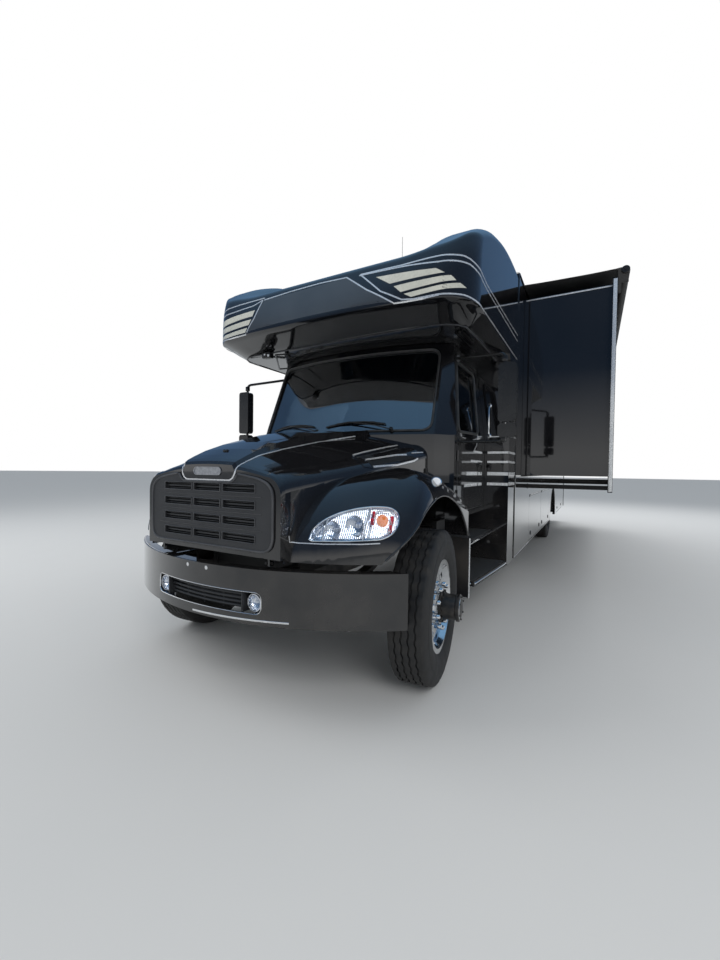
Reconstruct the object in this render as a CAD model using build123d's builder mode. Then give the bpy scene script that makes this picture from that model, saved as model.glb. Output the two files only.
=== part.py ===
import os
from math import cos, radians, sin

from build123d import *

os.makedirs("parts", exist_ok=True)

# A motorhome on a medium truck chassis, 1:1, in millimetres. +X is the vehicle's left, +Y its rear, +Z up.
# While it is drawn, X = 0 is its middle, Y = 0 the front of the bumper and Z = 0 the ground.

# Coach body
coach_half_width = 1270
coach_rear_y = 11700
wall_thickness = 50
skirt_z = 450
wall_top_z = 3540
roof_crown_z = 3600
floor_top_z = 1340
floor_thickness = 80
cap_rear_y = 3090
panel_gap = 7

# Over-cab cap
cap_front_y = 1050
cap_belly_z = 2505
cap_side_y = 1210
cap_corner_radius = 230
cap_side_radius = 75
cap_shell = 45
cab_back_y = 2690
cap_back_y = 2700

# Cab
cab_half_width = 1030
cab_roof_half_width = 930
cowl_z = 1300
belt_z = 1690
cab_roof_z = 2500
cab_wall = 45
glass_thickness = 6
door_gap = 7

# Hood and fenders
hood_front_y = 65
hood_bottom_z = 880
hood_lip_z = 900
hood_skin = 12
fender_half_width = 1165
arch_radius = 730
hood_gap = 14

# Bumper
bumper_half_width = 1159
bumper_sweep_y = 418
bumper_bottom_z = 530
bumper_top_z = 838
bumper_thickness = 22
bumper_bracket_y = 66

# Running gear
front_axle_y = 980
rear_axle_y = 8100
tyre_radius = 501.5
tyre_width = 250
rim_radius = 286
front_tyre_x = 1054
kingpin_x = 930
kingpin_radius = 24
rear_outer_tyre_x = coach_half_width - 205
rear_twin_spacing = 320
parked_steer_deg = 6
axle_z = tyre_radius

# Frame
rail_outer_x = 432
rail_web = 8
rail_flange = 80
rail_top_z = 1000
rail_height = 265
rail_front_y = 330
rail_rear_y = coach_rear_y - 120
cab_floor_z = rail_top_z

# Slide-out room
slide_front_y = 3512
slide_rear_y = coach_rear_y - 788
slide_floor_z = 1360
slide_top_z = 3405
slide_wall = 40
slide_extension = 875
slide_opening_gap = 15
outer_wall_thickness = 45
outer_wall_lap = 50
outer_wall_bottom_z = 1190
outer_wall_top_z = 3450

# Doors
entry_front_y = 3370
entry_rear_y = 4090
entry_bottom_z = 800
entry_top_z = 2950
stair_inner_x = -760
entry_window = [(entry_front_y + 180, 1900), (entry_rear_y - 180, 1900), (entry_rear_y - 180, 2700),
                (entry_front_y + 180, 2700)]
storage_top_z = 1090
storage_bottom_z = 475
storage_thickness = 40
rear_bay_front_y = rear_axle_y + 1050
rear_bay_end_y = coach_rear_y - 950
storage_doors = [
    # name, side (+1 left), front y, rear y
    ("left_front", 1, 4300, 5700),
    ("left_middle", 1, 5760, 7160),
    ("left_rear", 1, rear_bay_front_y, rear_bay_end_y),
    ("right_front", -1, 4300, 5700),
    ("right_middle", -1, 5760, 7160),
    ("right_rear", -1, rear_bay_front_y, rear_bay_end_y),
]

# Door hinges: the axis stands this far outside the skin and this far beyond the door's edge
hinge_out = 4
hinge_beyond = 4
hinge_radius = 4.4

pieces = {}


def keep(name, part):
    """Names a finished piece and keeps it for writing."""
    part.label = name
    pieces[name] = part


def block(low, high, mode=Mode.ADD):
    """Adds a block between two opposite corners to the piece in work."""
    middle = [(a + b) / 2 for a, b in zip(low, high)]
    with Locations(Vector(*middle)):
        Box(*[b - a for a, b in zip(low, high)], mode=mode)


def tube(start, axis, radius, length, mode=Mode.ADD):
    """Adds a round bar from a point along an axis to the piece in work."""
    with Locations(Plane(origin=start, z_dir=axis)):
        Cylinder(radius, length, align=(Align.CENTER, Align.CENTER, Align.MIN), mode=mode)


def side_prism(points, x_low, x_high, grow=0, radius=0, mode=Mode.ADD):
    """Extrudes an outline drawn as (rearward, up) from one X to another."""
    with BuildSketch(Plane.YZ.offset(x_low)) as outline:
        with BuildLine():
            Polyline(*points, close=True)
        make_face()
        if radius:
            fillet(outline.vertices(), radius)
        if grow:
            offset(amount=grow)
    extrude(outline.sketch, amount=x_high - x_low, mode=mode)


def front_prism(points, y_low, y_high, grow=0, radius=0, mode=Mode.ADD):
    """Extrudes an outline drawn as (left, up) from one Y rearward to another."""
    with BuildSketch(Plane.XZ.offset(-y_low)) as outline:
        with BuildLine():
            Polyline(*points, close=True)
        make_face()
        if radius:
            fillet(outline.vertices(), radius)
        if grow:
            offset(amount=grow)
    extrude(outline.sketch, amount=y_low - y_high, mode=mode)


def rectangle(low_a, low_b, high_a, high_b):
    """The corners of a rectangle, for an outline."""
    return [(low_a, low_b), (high_a, low_b), (high_a, high_b), (low_a, high_b)]


def other_side(part):
    """The same piece made for the right of the vehicle."""
    with BuildPart() as opposite:
        add(part)
        mirror(about=Plane.YZ, mode=Mode.REPLACE)
    return opposite.part


def both_sides(part):
    """The piece and its mirror image, as one node."""
    with BuildPart() as pair:
        add(part)
        mirror(about=Plane.YZ)
    return pair.part


# Cab. Its plan is a straight back, straight sides, a slanting pillar face and a curved windscreen.
cab_sections = {
    # height: (half width, side front y, pillar x, pillar y, middle front y)
    "belt": (cab_half_width, 1690, 900, 1520, 1370),
    "roof": (cab_roof_half_width, 1900, 870, 1840, 1700),
}
firewall_y = 1640
door_outline = [(1722, 1045), (1722, belt_z), (1905, 2410), (2600, 2410), (2600, 1045)]
door_glass_outline = [(1760, 1735), (1915, 2345), (2480, 2345), (2420, 1765)]
walk_through = rectangle(-700, 1060, 700, 2380)
screen_outline = [(-868, 1728), (868, 1728), (838, 2440), (-838, 2440)]


def cab_plan(z, section, inset):
    """The cab's plan at one height, drawn in by the inset."""
    half, side_y, pillar_x, pillar_y, front_y = section
    with BuildSketch(Plane.XY.offset(z)) as plan:
        with BuildLine():
            Polyline(
                (pillar_x - inset, pillar_y + inset),
                (half - inset, side_y + inset),
                (half - inset, cab_back_y - inset),
                (inset - half, cab_back_y - inset),
                (inset - half, side_y + inset),
                (inset - pillar_x, pillar_y + inset),
            )
            ThreePointArc(
                (inset - pillar_x, pillar_y + inset),
                (0, front_y + inset),
                (pillar_x - inset, pillar_y + inset),
            )
        make_face()
    return plan.sketch


def cab_form(inset):
    """The cab's outer form, drawn in by the inset."""
    half = cab_half_width - inset
    with BuildPart() as form:
        block((-half, firewall_y + inset, cab_floor_z + inset), (half, cab_back_y - inset, belt_z))
        extrude(cab_plan(cowl_z + inset, cab_sections["belt"], inset), amount=belt_z - cowl_z - inset)
        loft([cab_plan(belt_z, cab_sections["belt"], inset),
              cab_plan(cab_roof_z - inset, cab_sections["roof"], inset)])
    return form.part


def build_cab_shell():
    with BuildPart() as shell:
        add(cab_form(0))
        add(cab_form(cab_wall), mode=Mode.SUBTRACT)
        side_prism(door_outline, -1200, 1200, grow=door_gap, mode=Mode.SUBTRACT)
        front_prism(screen_outline, 1300, 2200, radius=80, mode=Mode.SUBTRACT)
        front_prism(walk_through, 2600, 2750, mode=Mode.SUBTRACT)
    return shell.part


def build_windscreen():
    with BuildPart() as screen:
        add(cab_form(8))
        add(cab_form(8 + glass_thickness), mode=Mode.SUBTRACT)
        front_prism(screen_outline, 1300, 2200, radius=80, mode=Mode.INTERSECT)
    return screen.part


cab_hinge_x = cab_half_width + 6
cab_hinge_y = door_outline[0][0] - door_gap
cab_hinge_radius = 5.4
cab_hinge_heights = [1150, 1480]


def build_cab_door():
    """The left door: a pressed skin and frame with its window cut, and its two hinge barrels."""
    with BuildPart() as door:
        add(cab_form(0))
        add(cab_form(cab_wall), mode=Mode.SUBTRACT)
        side_prism(door_outline, 800, 1200, mode=Mode.INTERSECT)
        side_prism(door_glass_outline, 800, 1200, radius=60, mode=Mode.SUBTRACT)
        for z in cab_hinge_heights:
            tube((cab_hinge_x, cab_hinge_y, z), (0, 0, 1), cab_hinge_radius, 90)
            block((cab_half_width - 1, cab_hinge_y + 2, z + 2),
                  (cab_half_width + 4, cab_hinge_y + 60, z + 88))
    return door.part


def build_door_glass():
    with BuildPart() as glass:
        add(cab_form(18))
        add(cab_form(18 + glass_thickness), mode=Mode.SUBTRACT)
        side_prism(door_glass_outline, 800, 1200, radius=60, mode=Mode.INTERSECT)
    return glass.part


# Mirror: a C-shaped tube off the door's front edge, with a tall head and a smaller round one below.
mirror_y = 1765
mirror_tube_radius = 13
mirror_foot = (940, 1940, 2385)
mirror_top_z = 2330
mirror_low_z = 1640
mirror_out_x = 1385
mirror_heads = [
    # low z, high z
    (1790, 2250),
    (1668, 1775),
]


def build_mirror():
    with BuildPart() as mirror_arm:
        with BuildLine() as route:
            FilletPolyline(
                mirror_foot,
                (mirror_out_x, mirror_y, mirror_top_z),
                (mirror_out_x, mirror_y, mirror_low_z),
                (cab_half_width, mirror_y, mirror_low_z),
                radius=45,
            )
        with BuildSketch(Plane(origin=route.line @ 0, z_dir=route.line % 0)):
            Circle(mirror_tube_radius)
        sweep()
        for low_z, high_z in mirror_heads:
            front_prism(rectangle(1345, low_z, 1480, high_z), mirror_y - 35, mirror_y + 45, radius=28)
        tube((cab_half_width, mirror_y, mirror_low_z), (1, 0, 0), 30, 10)
        tube(mirror_foot, (1, -0.36, -0.12), 30, 24)
        add(cab_form(0), mode=Mode.SUBTRACT)
    return mirror_arm.part


# Hood. The middle is a wedge that widens and rises to the cowl, with a raised centre along its top, and
# each fender is a hump beside it.
hood_sections = [
    # y, half width, shoulder z, middle z
    (hood_front_y, 568, 1350, 1400),
    (76, 569, 1362, 1420),
    (98, 571, 1371, 1437),
    (140, 574, 1380, 1462),
    (230, 588, 1394, 1507),
    (400, 617, 1416, 1563),
    (800, 715, 1480, 1634),
    (1640, 890, 1640, 1740),
]
shoulder_radius = 110
centre_sections = [
    # y, foot half width, edge half width, foot z, edge z, middle z
    (hood_front_y - 3, 256, 206, 1318, 1412, 1418),
    (74, 268, 218, 1345, 1430, 1437),
    (100, 276, 226, 1372, 1445, 1453),
    (150, 280, 230, 1398, 1469, 1478),
    (240, 284, 234, 1430, 1508, 1518),
    (400, 290, 240, 1470, 1560, 1571),
    (780, 322, 272, 1555, 1655, 1667),
    (1640, 440, 400, 1680, 1757, 1768),
]
fender_sections = [
    # x, front y, front middle z, crest y, crest z, rear z
    (420, 112, 1060, 620, 1230, 1090),
    (600, 150, 1110, 680, 1330, 1170),
    (760, 208, 1130, 730, 1385, 1215),
    (900, 278, 1140, 760, 1410, 1235),
    (1020, 352, 1140, 780, 1398, 1225),
    (1110, 418, 1110, 800, 1325, 1175),
    (fender_half_width, 462, 1050, 820, 1195, 1080),
]
fender_rear_y = 1600
hood_pivot_y = 112
hood_pivot_z = 866
hood_pin_radius = 8
hood_bracket = 14
hood_ear_gap = 6
hood_bracket_half = 18


def hood_middle(inset):
    """The hood's middle, drawn in by the inset, from the grille to the cowl."""
    with BuildPart() as form:
        for y, half, shoulder, crown in hood_sections:
            w = half - inset
            r = shoulder_radius - inset
            low = hood_bottom_z - inset
            top = shoulder - inset
            with BuildSketch(Plane.XZ.offset(-y - inset)):
                with BuildLine():
                    Polyline((-w, top - r), (-w, low), (w, low), (w, top - r))
                    ThreePointArc((w, top - r), (w - 0.293 * r, top - 0.293 * r), (w - r, top))
                    ThreePointArc((w - r, top), (0, crown - inset), (r - w, top))
                    ThreePointArc((r - w, top), (0.293 * r - w, top - 0.293 * r), (-w, top - r))
                make_face()
        loft(ruled=True)
    return form.part


def hood_centre(inset):
    """The raised centre along the hood's top, drawn down and back by the inset."""
    with BuildPart() as form:
        for y, foot, edge, foot_z, edge_z, middle_z in centre_sections:
            with BuildSketch(Plane.XZ.offset(-y - inset)):
                with BuildLine():
                    Polyline((-edge, edge_z - inset), (-foot, foot_z - inset), (foot, foot_z - inset),
                             (edge, edge_z - inset))
                    ThreePointArc((edge, edge_z - inset), (0, middle_z - inset), (-edge, edge_z - inset))
                make_face()
        loft(ruled=True)
    return form.part


def fender_form(inset):
    """The left fender's form: swept front, humped crown and falling rear, drawn in by the inset."""
    low_z = hood_bottom_z - inset
    rear_y = fender_rear_y - inset
    with BuildPart() as form:
        for x, front, middle_z, crest_y, crest, rear in fender_sections:
            front_y = front + inset
            crest_z = crest - inset
            with BuildSketch(Plane.YZ.offset(min(x, fender_half_width - inset))):
                with BuildLine():
                    ThreePointArc((front_y, low_z), (0.845 * front_y + 0.155 * crest_y, middle_z),
                                  (crest_y, crest_z))
                    ThreePointArc((crest_y, crest_z),
                                  ((crest_y + rear_y) / 2, crest_z - 0.3 * (crest - rear)),
                                  (rear_y, rear - inset))
                    Polyline((rear_y, rear - inset), (rear_y, low_z), (front_y, low_z))
                make_face()
        loft()
    return form.part


headlamp_outline = [(655, 1008), (664, 1063), (710, 1113), (779, 1154), (870, 1181), (951, 1192),
                    (1035, 1188), (1080, 1152), (1088, 1092), (1069, 1044), (1023, 1014), (847, 1002),
                    (675, 998)]
# Half of the grille opening, from its middle top, where the badge panel hangs into it, to its middle bottom
grille_half_outline = [(0, 1318), (200, 1318), (222, 1326), (250, 1360), (262, 1364), (300, 1360),
                       (420, 1340), (480, 1318), (514, 1284), (524, 1240), (524, 1005), (508, 958),
                       (470, 934), (430, 930)]
grille_outline = grille_half_outline + [(-x, z) for x, z in reversed(grille_half_outline[1:])]
grille_bottom_z = grille_half_outline[-1][1]


def build_hood():
    with BuildPart() as hood:
        for form in (hood_middle(0), hood_centre(0), fender_form(0), other_side(fender_form(0))):
            add(form)
        for form in (hood_middle(hood_skin), hood_centre(hood_skin), fender_form(hood_skin),
                     other_side(fender_form(hood_skin))):
            add(form, mode=Mode.SUBTRACT)
        # Wheel arches
        tube((-1300, front_axle_y, axle_z), (1, 0, 0), arch_radius, 700, mode=Mode.SUBTRACT)
        tube((600, front_axle_y, axle_z), (1, 0, 0), arch_radius, 700, mode=Mode.SUBTRACT)
        # Grille and headlamp openings
        front_prism(grille_outline, 0, 400, mode=Mode.SUBTRACT)
        for side in (1, -1):
            lamp = [(side * x, z) for x, z in headlamp_outline]
            front_prism(lamp, 0, 700, mode=Mode.SUBTRACT)
        # The lip under the grille stays above the bumper as the hood tips
        front_prism(rectangle(-hood_sections[0][1] - 2, hood_bottom_z - 50,
                              hood_sections[0][1] + 2, hood_lip_z),
                    0, hood_pivot_y - 5, mode=Mode.SUBTRACT)
        # The cowl and everything under it stay clear as the hood lifts
        add(cab_form(-hood_gap), mode=Mode.SUBTRACT)
        extrude(cab_plan(hood_bottom_z - 100, cab_sections["belt"], -hood_gap),
                amount=belt_z - hood_bottom_z + 100, mode=Mode.SUBTRACT)
        # Ears down to the pivot pins at the front of the frame
        for side in (1, -1):
            ear_x = rail_outer_x + hood_bracket + hood_ear_gap
            low_x, high_x = sorted((side * (rail_outer_x - hood_ear_gap), side * ear_x))
            block((low_x, hood_front_y - 10, hood_bottom_z - 10),
                  (high_x, hood_pivot_y, hood_pivot_z + 2 * hood_bracket_half), mode=Mode.SUBTRACT)
            low_x, high_x = sorted((side * ear_x, side * (ear_x + hood_bracket)))
            block((low_x, hood_pivot_y - 16, hood_pivot_z - 16),
                  (high_x, hood_pivot_y + 18, grille_bottom_z - 2))
            block((low_x, hood_front_y + 2, hood_lip_z), (high_x, hood_pivot_y, grille_bottom_z - 2))
            tube((low_x - 1, hood_pivot_y, hood_pivot_z), (1, 0, 0), hood_pin_radius + 0.5,
                 hood_bracket + 2, mode=Mode.SUBTRACT)
    return hood.part


def build_headlamps():
    with BuildPart() as lamp:
        add(fender_form(-4))
        add(fender_form(45), mode=Mode.SUBTRACT)
        front_prism(headlamp_outline, 0, 700, mode=Mode.INTERSECT)
    return both_sides(lamp.part)


grille_slots = [
    # middle height, slot height
    (1282, 48), (1188, 48), (1094, 48), (1000, 48),
]
grille_front_y = hood_front_y - 8
grille_depth = 40
slot_half_length = 392
slot_ribs = [(-slot_half_length, -135), (-115, 115), (135, slot_half_length)]
louvre_half = 5


def build_grille():
    """A moulded grille: a frame with four long slots, each crossed by two ribs and split by a louvre."""
    with BuildPart() as grille:
        front_prism(grille_outline, grille_front_y, grille_front_y + grille_depth)
        for z, height in grille_slots:
            for low_x, high_x in slot_ribs:
                front_prism(rectangle(low_x, z - height / 2, high_x, z + height / 2),
                            0, 400, radius=8, mode=Mode.SUBTRACT)
            block((-slot_half_length - louvre_half, grille_front_y + 14, z - louvre_half),
                  (slot_half_length + louvre_half, grille_front_y + grille_depth - 4, z + louvre_half))
    return grille.part


# Bumper: a swept channel with a rolled top ledge, and an air opening between two fog lamps.
fog_x = 385
fog_z = 645
bumper_opening = rectangle(-445, 585, 445, 712)


def bumper_plan(z, inset):
    """The bumper's plan at one height, in one sweep, drawn in by the inset."""
    half = bumper_half_width - inset * 0.4
    sweep_y = bumper_sweep_y + inset * 0.9
    with BuildSketch(Plane.XY.offset(z)) as plan:
        with BuildLine():
            ThreePointArc((-half, sweep_y), (0, inset), (half, sweep_y))
            Polyline((half, sweep_y), (half, 700), (-half, 700), (-half, sweep_y))
        make_face()
    return plan.sketch


def build_bumper():
    with BuildPart() as bumper:
        height = bumper_top_z - bumper_bottom_z
        extrude(bumper_plan(bumper_bottom_z, 0), amount=height)
        extrude(bumper_plan(bumper_bottom_z + bumper_thickness, bumper_thickness),
                amount=height - 2 * bumper_thickness, mode=Mode.SUBTRACT)
        extrude(bumper_plan(bumper_bottom_z, 75), amount=height, mode=Mode.SUBTRACT)
        block((-1300, bumper_sweep_y, 400), (1300, 800, 900), mode=Mode.SUBTRACT)
        front_prism(bumper_opening, -100, 500, radius=45, mode=Mode.SUBTRACT)
        # Brackets back to the frame rails
        for side in (1, -1):
            low_x, high_x = sorted((side * rail_outer_x, side * (rail_outer_x + 16)))
            block((low_x, bumper_bracket_y, rail_top_z - rail_height),
                  (high_x, rail_front_y + 60, bumper_top_z - bumper_thickness))
    return bumper.part


def build_fog_lamps():
    with BuildPart() as lamp:
        with BuildSketch(Plane.XZ.offset(-62)):
            with Locations((fog_x, fog_z)):
                Circle(50)
        extrude(amount=-60)
        block((fog_x - 30, 100, bumper_bottom_z + bumper_thickness),
              (fog_x + 30, 112, bumper_top_z - bumper_thickness))
    return both_sides(lamp.part)


# Frame: two channel rails and the cross members between them
spring_x = rail_outer_x - rail_flange / 2
spring_eye_z = 640
front_spring_half = 620
rear_spring_half = 720
cross_members = [560, 1750, 3000, 4700, 6400, 7450, 8750, rail_rear_y - 1280, rail_rear_y - 100]


def build_frame():
    low = rail_top_z - rail_height
    with BuildPart() as frame:
        for side in (1, -1):
            web = sorted((side * rail_outer_x, side * (rail_outer_x - rail_web)))
            lip = sorted((side * rail_outer_x, side * (rail_outer_x - rail_flange)))
            block((web[0], rail_front_y, low), (web[1], rail_rear_y, rail_top_z))
            for z in (low, rail_top_z - rail_web):
                block((lip[0], rail_front_y, z), (lip[1], rail_rear_y, z + rail_web))
        for y in cross_members:
            block((rail_web - rail_outer_x, y - 35, 850), (rail_outer_x - rail_web, y + 35, 970))
        # Brackets forward to the hood's pivot pins
        for side in (1, -1):
            low_x, high_x = sorted((side * rail_outer_x, side * (rail_outer_x + hood_bracket)))
            block((low_x, hood_pivot_y, hood_pivot_z - hood_bracket_half),
                  (high_x, rail_front_y + 80, hood_pivot_z + hood_bracket_half))
            tube((low_x, hood_pivot_y, hood_pivot_z), (1, 0, 0), hood_bracket_half, hood_bracket)
            tube((side * rail_outer_x, hood_pivot_y, hood_pivot_z), (side, 0, 0), hood_pin_radius,
                 2 * hood_bracket + hood_ear_gap + 6)
        # Spring hangers, a plate each side of every spring eye
        for side in (1, -1):
            for axle_y, half_length in ((front_axle_y, front_spring_half), (rear_axle_y, rear_spring_half)):
                for y in (axle_y - half_length, axle_y + half_length):
                    block((side * spring_x - 52, y - 30, low - 45), (side * spring_x + 52, y + 30, low))
                    for x in (side * spring_x - 47, side * spring_x + 47):
                        block((x - 5, y - 30, low - 120), (x + 5, y + 30, low - 40))
    return frame.part


def leaf_spring(middle_y, half_length, seat_z, eye_z, x, mode=Mode.ADD):
    """A curved spring pack, thick in its middle, ending in an eye at each end."""
    with BuildSketch(Plane.YZ.offset(x - 40)) as pack:
        with BuildLine():
            ThreePointArc((middle_y - half_length, eye_z), (middle_y, seat_z),
                          (middle_y + half_length, eye_z))
            Line((middle_y + half_length, eye_z), (middle_y + half_length, eye_z + 16))
            ThreePointArc((middle_y + half_length, eye_z + 16), (middle_y, seat_z + 62),
                          (middle_y - half_length, eye_z + 16))
            Line((middle_y - half_length, eye_z + 16), (middle_y - half_length, eye_z))
        make_face()
    extrude(pack.sketch, amount=80, mode=mode)
    for y in (middle_y - half_length, middle_y + half_length):
        tube((x - 40, y, eye_z + 8), (1, 0, 0), 30, 80)


front_beam_low_z = 395
front_beam_top_z = 485
beam_end_x = kingpin_x - 30


def build_front_axle():
    """A dropped I-beam, its spring seats and both leaf springs."""
    with BuildPart() as axle:
        with BuildSketch(Plane.XZ.offset(-(front_axle_y - 50))):
            with BuildLine():
                Polyline((-beam_end_x, 555), (-beam_end_x, 445), (-780, 430), (-640, front_beam_low_z),
                         (640, front_beam_low_z), (780, 430), (beam_end_x, 445), (beam_end_x, 555),
                         (beam_end_x - 30, 555), (620, front_beam_top_z), (-620, front_beam_top_z),
                         (30 - beam_end_x, 555), close=True)
            make_face()
        extrude(amount=-100)
        for y_low, y_high in ((front_axle_y - 51, front_axle_y - 12), (front_axle_y + 12, front_axle_y + 51)):
            block((-600, y_low, front_beam_low_z + 18), (600, y_high, front_beam_top_z - 18),
                  mode=Mode.SUBTRACT)
        for side in (1, -1):
            leaf_spring(front_axle_y, front_spring_half, 490, spring_eye_z, side * spring_x)
            block((side * spring_x - 55, front_axle_y - 70, front_beam_top_z - 12),
                  (side * spring_x + 55, front_axle_y + 70, 500))
            tube((side * kingpin_x, front_axle_y, 445), (0, 0, 1), 42, 110)
            tube((side * kingpin_x, front_axle_y, 440), (0, 0, 1), kingpin_radius + 1, 130,
                 mode=Mode.SUBTRACT)
    return axle.part


shaft_front_y = 1480
shaft_front_z = 640
rear_spindle_radius = 45
rear_spindle_end_x = rear_outer_tyre_x - 345
rear_flange_x = rear_outer_tyre_x - 505
axle_tube_radius = 68
banjo_radius = 190


def build_rear_axle():
    """A banjo housing with its tubes, both leaf springs, and the drive shaft that ends in its pinion."""
    with BuildPart() as axle:
        middle = Plane(origin=(0, rear_axle_y, axle_z))
        with BuildSketch(middle) as profile:
            with BuildLine():
                Polyline((-330, 0), (-330, axle_tube_radius - 20), (-120, banjo_radius), (120, banjo_radius),
                         (330, axle_tube_radius - 20), (330, 0), close=True)
            make_face()
        revolve(profile.sketch, axis=Axis(middle.origin, middle.x_dir))
        tube((-rear_flange_x, rear_axle_y, axle_z), (1, 0, 0), axle_tube_radius, 2 * rear_flange_x)
        tube((-rear_spindle_end_x, rear_axle_y, axle_z), (1, 0, 0), rear_spindle_radius,
             2 * rear_spindle_end_x)
        for side in (1, -1):
            tube((side * rear_flange_x, rear_axle_y, axle_z), (side, 0, 0), 160, 12)
        tube((0, rear_axle_y - 330, axle_z), (0, 1, 0), 75, 200)
        shaft_run = Vector(0, rear_axle_y - 300 - shaft_front_y, axle_z - shaft_front_z)
        tube((0, shaft_front_y, shaft_front_z), shaft_run, 55, shaft_run.length)
        for side in (1, -1):
            leaf_spring(rear_axle_y, rear_spring_half, 575, spring_eye_z, side * spring_x)
            block((side * spring_x - 55, rear_axle_y - 75, axle_z),
                  (side * spring_x + 55, rear_axle_y + 75, 590))
    return axle.part


rail_inner_x = rail_outer_x - rail_flange
radiator_y = 415


def build_engine():
    with BuildPart() as engine:
        block((-rail_inner_x, 620, 600), (rail_inner_x, 1330, 1300))
    return engine.part


def build_radiator():
    with BuildPart() as radiator:
        block((-rail_inner_x, radiator_y, 650), (rail_inner_x, radiator_y + 80, 1270))
        block((-rail_inner_x + 40, radiator_y - 1, 710), (rail_inner_x - 40, radiator_y + 12, 1210),
              mode=Mode.SUBTRACT)
    return radiator.part


def build_seats():
    """Two high-backed cab seats, each a cushion, a back and a pedestal."""
    with BuildPart() as seats:
        for side in (1, -1):
            x = side * 480
            block((x - 240, 2010, 1330), (x + 240, 2470, 1460))
            side_prism([(2440, 1400), (2560, 1400), (2640, 2120), (2530, 2140)], x - 225, x + 225, radius=20)
            block((x - 150, 2100, cab_floor_z + cab_wall), (x + 150, 2400, 1335))
    return seats.part


def build_dashboard():
    """The instrument panel, a full-width moulding, and the steering wheel on its column."""
    ledge_z = cowl_z + cab_wall
    wheel_plane = Plane(origin=(480, 2085, 1640), x_dir=(1, 0, 0), z_dir=(0, 0.55, 0.835))
    with BuildPart() as panel:
        side_prism([(1600, ledge_z), (1600, 1600), (1720, 1655), (1950, 1600), (1985, 1500), (1930, 1400),
                    (firewall_y + cab_wall - 5, ledge_z)], -840, 840)
        with Locations(wheel_plane):
            Torus(205, 15)
            Box(410, 34, 14)
            Cylinder(45, 30)
        with Locations(wheel_plane.offset(-115)):
            Cylinder(28, 230)
    return panel.part


step_outer_x = 1185


def build_cab_steps():
    """On each side two treads on a bracket off the frame, and the flap behind the front tyre."""
    with BuildPart() as steps:
        with BuildSketch(Plane.XY.offset(455)):
            with BuildLine():
                Polyline((820, 1730), (step_outer_x, 1730), (coach_half_width - 10, 2600),
                         (coach_half_width - 10, 2690), (820, 2690), close=True)
            make_face()
        extrude(amount=42)
        block((820, 1730, 490), (860, 2690, 965))
        block((820, 1730, 770), (1120, 2690, 800))
        block((rail_outer_x, 1800, 820), (840, 1860, 900))
        block((rail_outer_x, 2520, 820), (840, 2580, 900))
        block((880, 1660, 372), (1160, 1672, 860))
        block((880, 1660, 780), (920, 1740, 860))
    return both_sides(steps.part)


# Wheels. The front discs bulge outward to the hub, the rear ones are dished, back to back.
hub_length = 230
hub_radius = 78
spindle_radius = 31.5
spindle_clearance = 0.5
spindle_length = 106
drum_radius = 200
drum_wall = 14


def wheel_axes(side, y, steer_deg):
    """The plane at a front wheel's middle, its Z pointing outward along the axle."""
    turn = radians(steer_deg)
    out = (side * cos(turn), side * sin(turn), 0)
    reach = front_tyre_x - kingpin_x
    origin = (side * kingpin_x + reach * out[0], y + reach * out[1], axle_z)
    return Plane(origin=origin, x_dir=(0, 0, 1), z_dir=out)


def rear_plane(side, x):
    """The plane at the middle of a rear wheel, its Z pointing outward."""
    return Plane(origin=(side * x, rear_axle_y, axle_z), x_dir=(0, 0, 1), z_dir=(side, 0, 0))


def tyre_ring(plane):
    """Adds one tyre: a rounded section spun about the axle."""
    section = Plane(origin=plane.origin, x_dir=plane.z_dir, z_dir=plane.y_dir)
    half = tyre_width / 2
    with BuildSketch(section) as profile:
        with BuildLine():
            Polyline((-half + 42, rim_radius), (-half + 6, 340), (-half, 395), (-half + 12, 470),
                     (-half + 30, tyre_radius - 2), (0, tyre_radius), (half - 30, tyre_radius - 2),
                     (half - 12, 470), (half, 395), (half - 6, 340), (half - 42, rim_radius), close=True)
        make_face()
    revolve(profile.sketch, axis=Axis(plane.origin, plane.z_dir))


def rim_disc(plane, disc_at, dish):
    """Adds one wheel: a barrel with flanges and a dished disc with ten hand holes."""
    section = Plane(origin=plane.origin, x_dir=plane.z_dir, z_dir=plane.y_dir)
    half = tyre_width / 2 - 22
    with BuildSketch(section) as profile:
        with BuildLine():
            Polyline((-half, rim_radius + 16), (-half, rim_radius - 14), (disc_at - 10, rim_radius - 34),
                     (disc_at - 10 + dish * 12, 150), (disc_at - 10 + dish * 22, 60),
                     (disc_at + 4 + dish * 22, 60), (disc_at + 4 + dish * 12, 150),
                     (disc_at + 6, rim_radius - 30), (half, rim_radius - 14), (half, rim_radius + 16),
                     (half - 8, rim_radius + 16), (half - 18, rim_radius), (18 - half, rim_radius),
                     (8 - half, rim_radius + 16), close=True)
        make_face()
    revolve(profile.sketch, axis=Axis(plane.origin, plane.z_dir))
    with Locations(plane.offset(disc_at)):
        with PolarLocations(205, 10):
            Cylinder(26, 80, mode=Mode.SUBTRACT)


def spun(plane, radius, inner, outer, mode=Mode.ADD):
    """Adds a round body on the wheel's axle between two distances along it."""
    with Locations(plane.offset((inner + outer) / 2)):
        Cylinder(radius, outer - inner, mode=mode)


def build_front_wheel(side):
    """The disc wheel with its hub and brake drum, bored for the spindle."""
    plane = wheel_axes(side, front_axle_y, parked_steer_deg)
    with BuildPart() as wheel:
        rim_disc(plane, 60, 1)
        spun(plane, hub_radius, -20, hub_length)
        spun(plane, 118, 75, 101)
        spun(plane, drum_radius, 40, 70)
        with Locations(plane.offset(-3)):
            Cylinder(drum_radius, 90)
            Cylinder(drum_radius - drum_wall, 90, mode=Mode.SUBTRACT)
        spun(plane, hub_radius, -20, hub_length)
        spun(plane, spindle_radius + spindle_clearance, -30, spindle_length - 50, mode=Mode.SUBTRACT)
    return wheel.part


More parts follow.
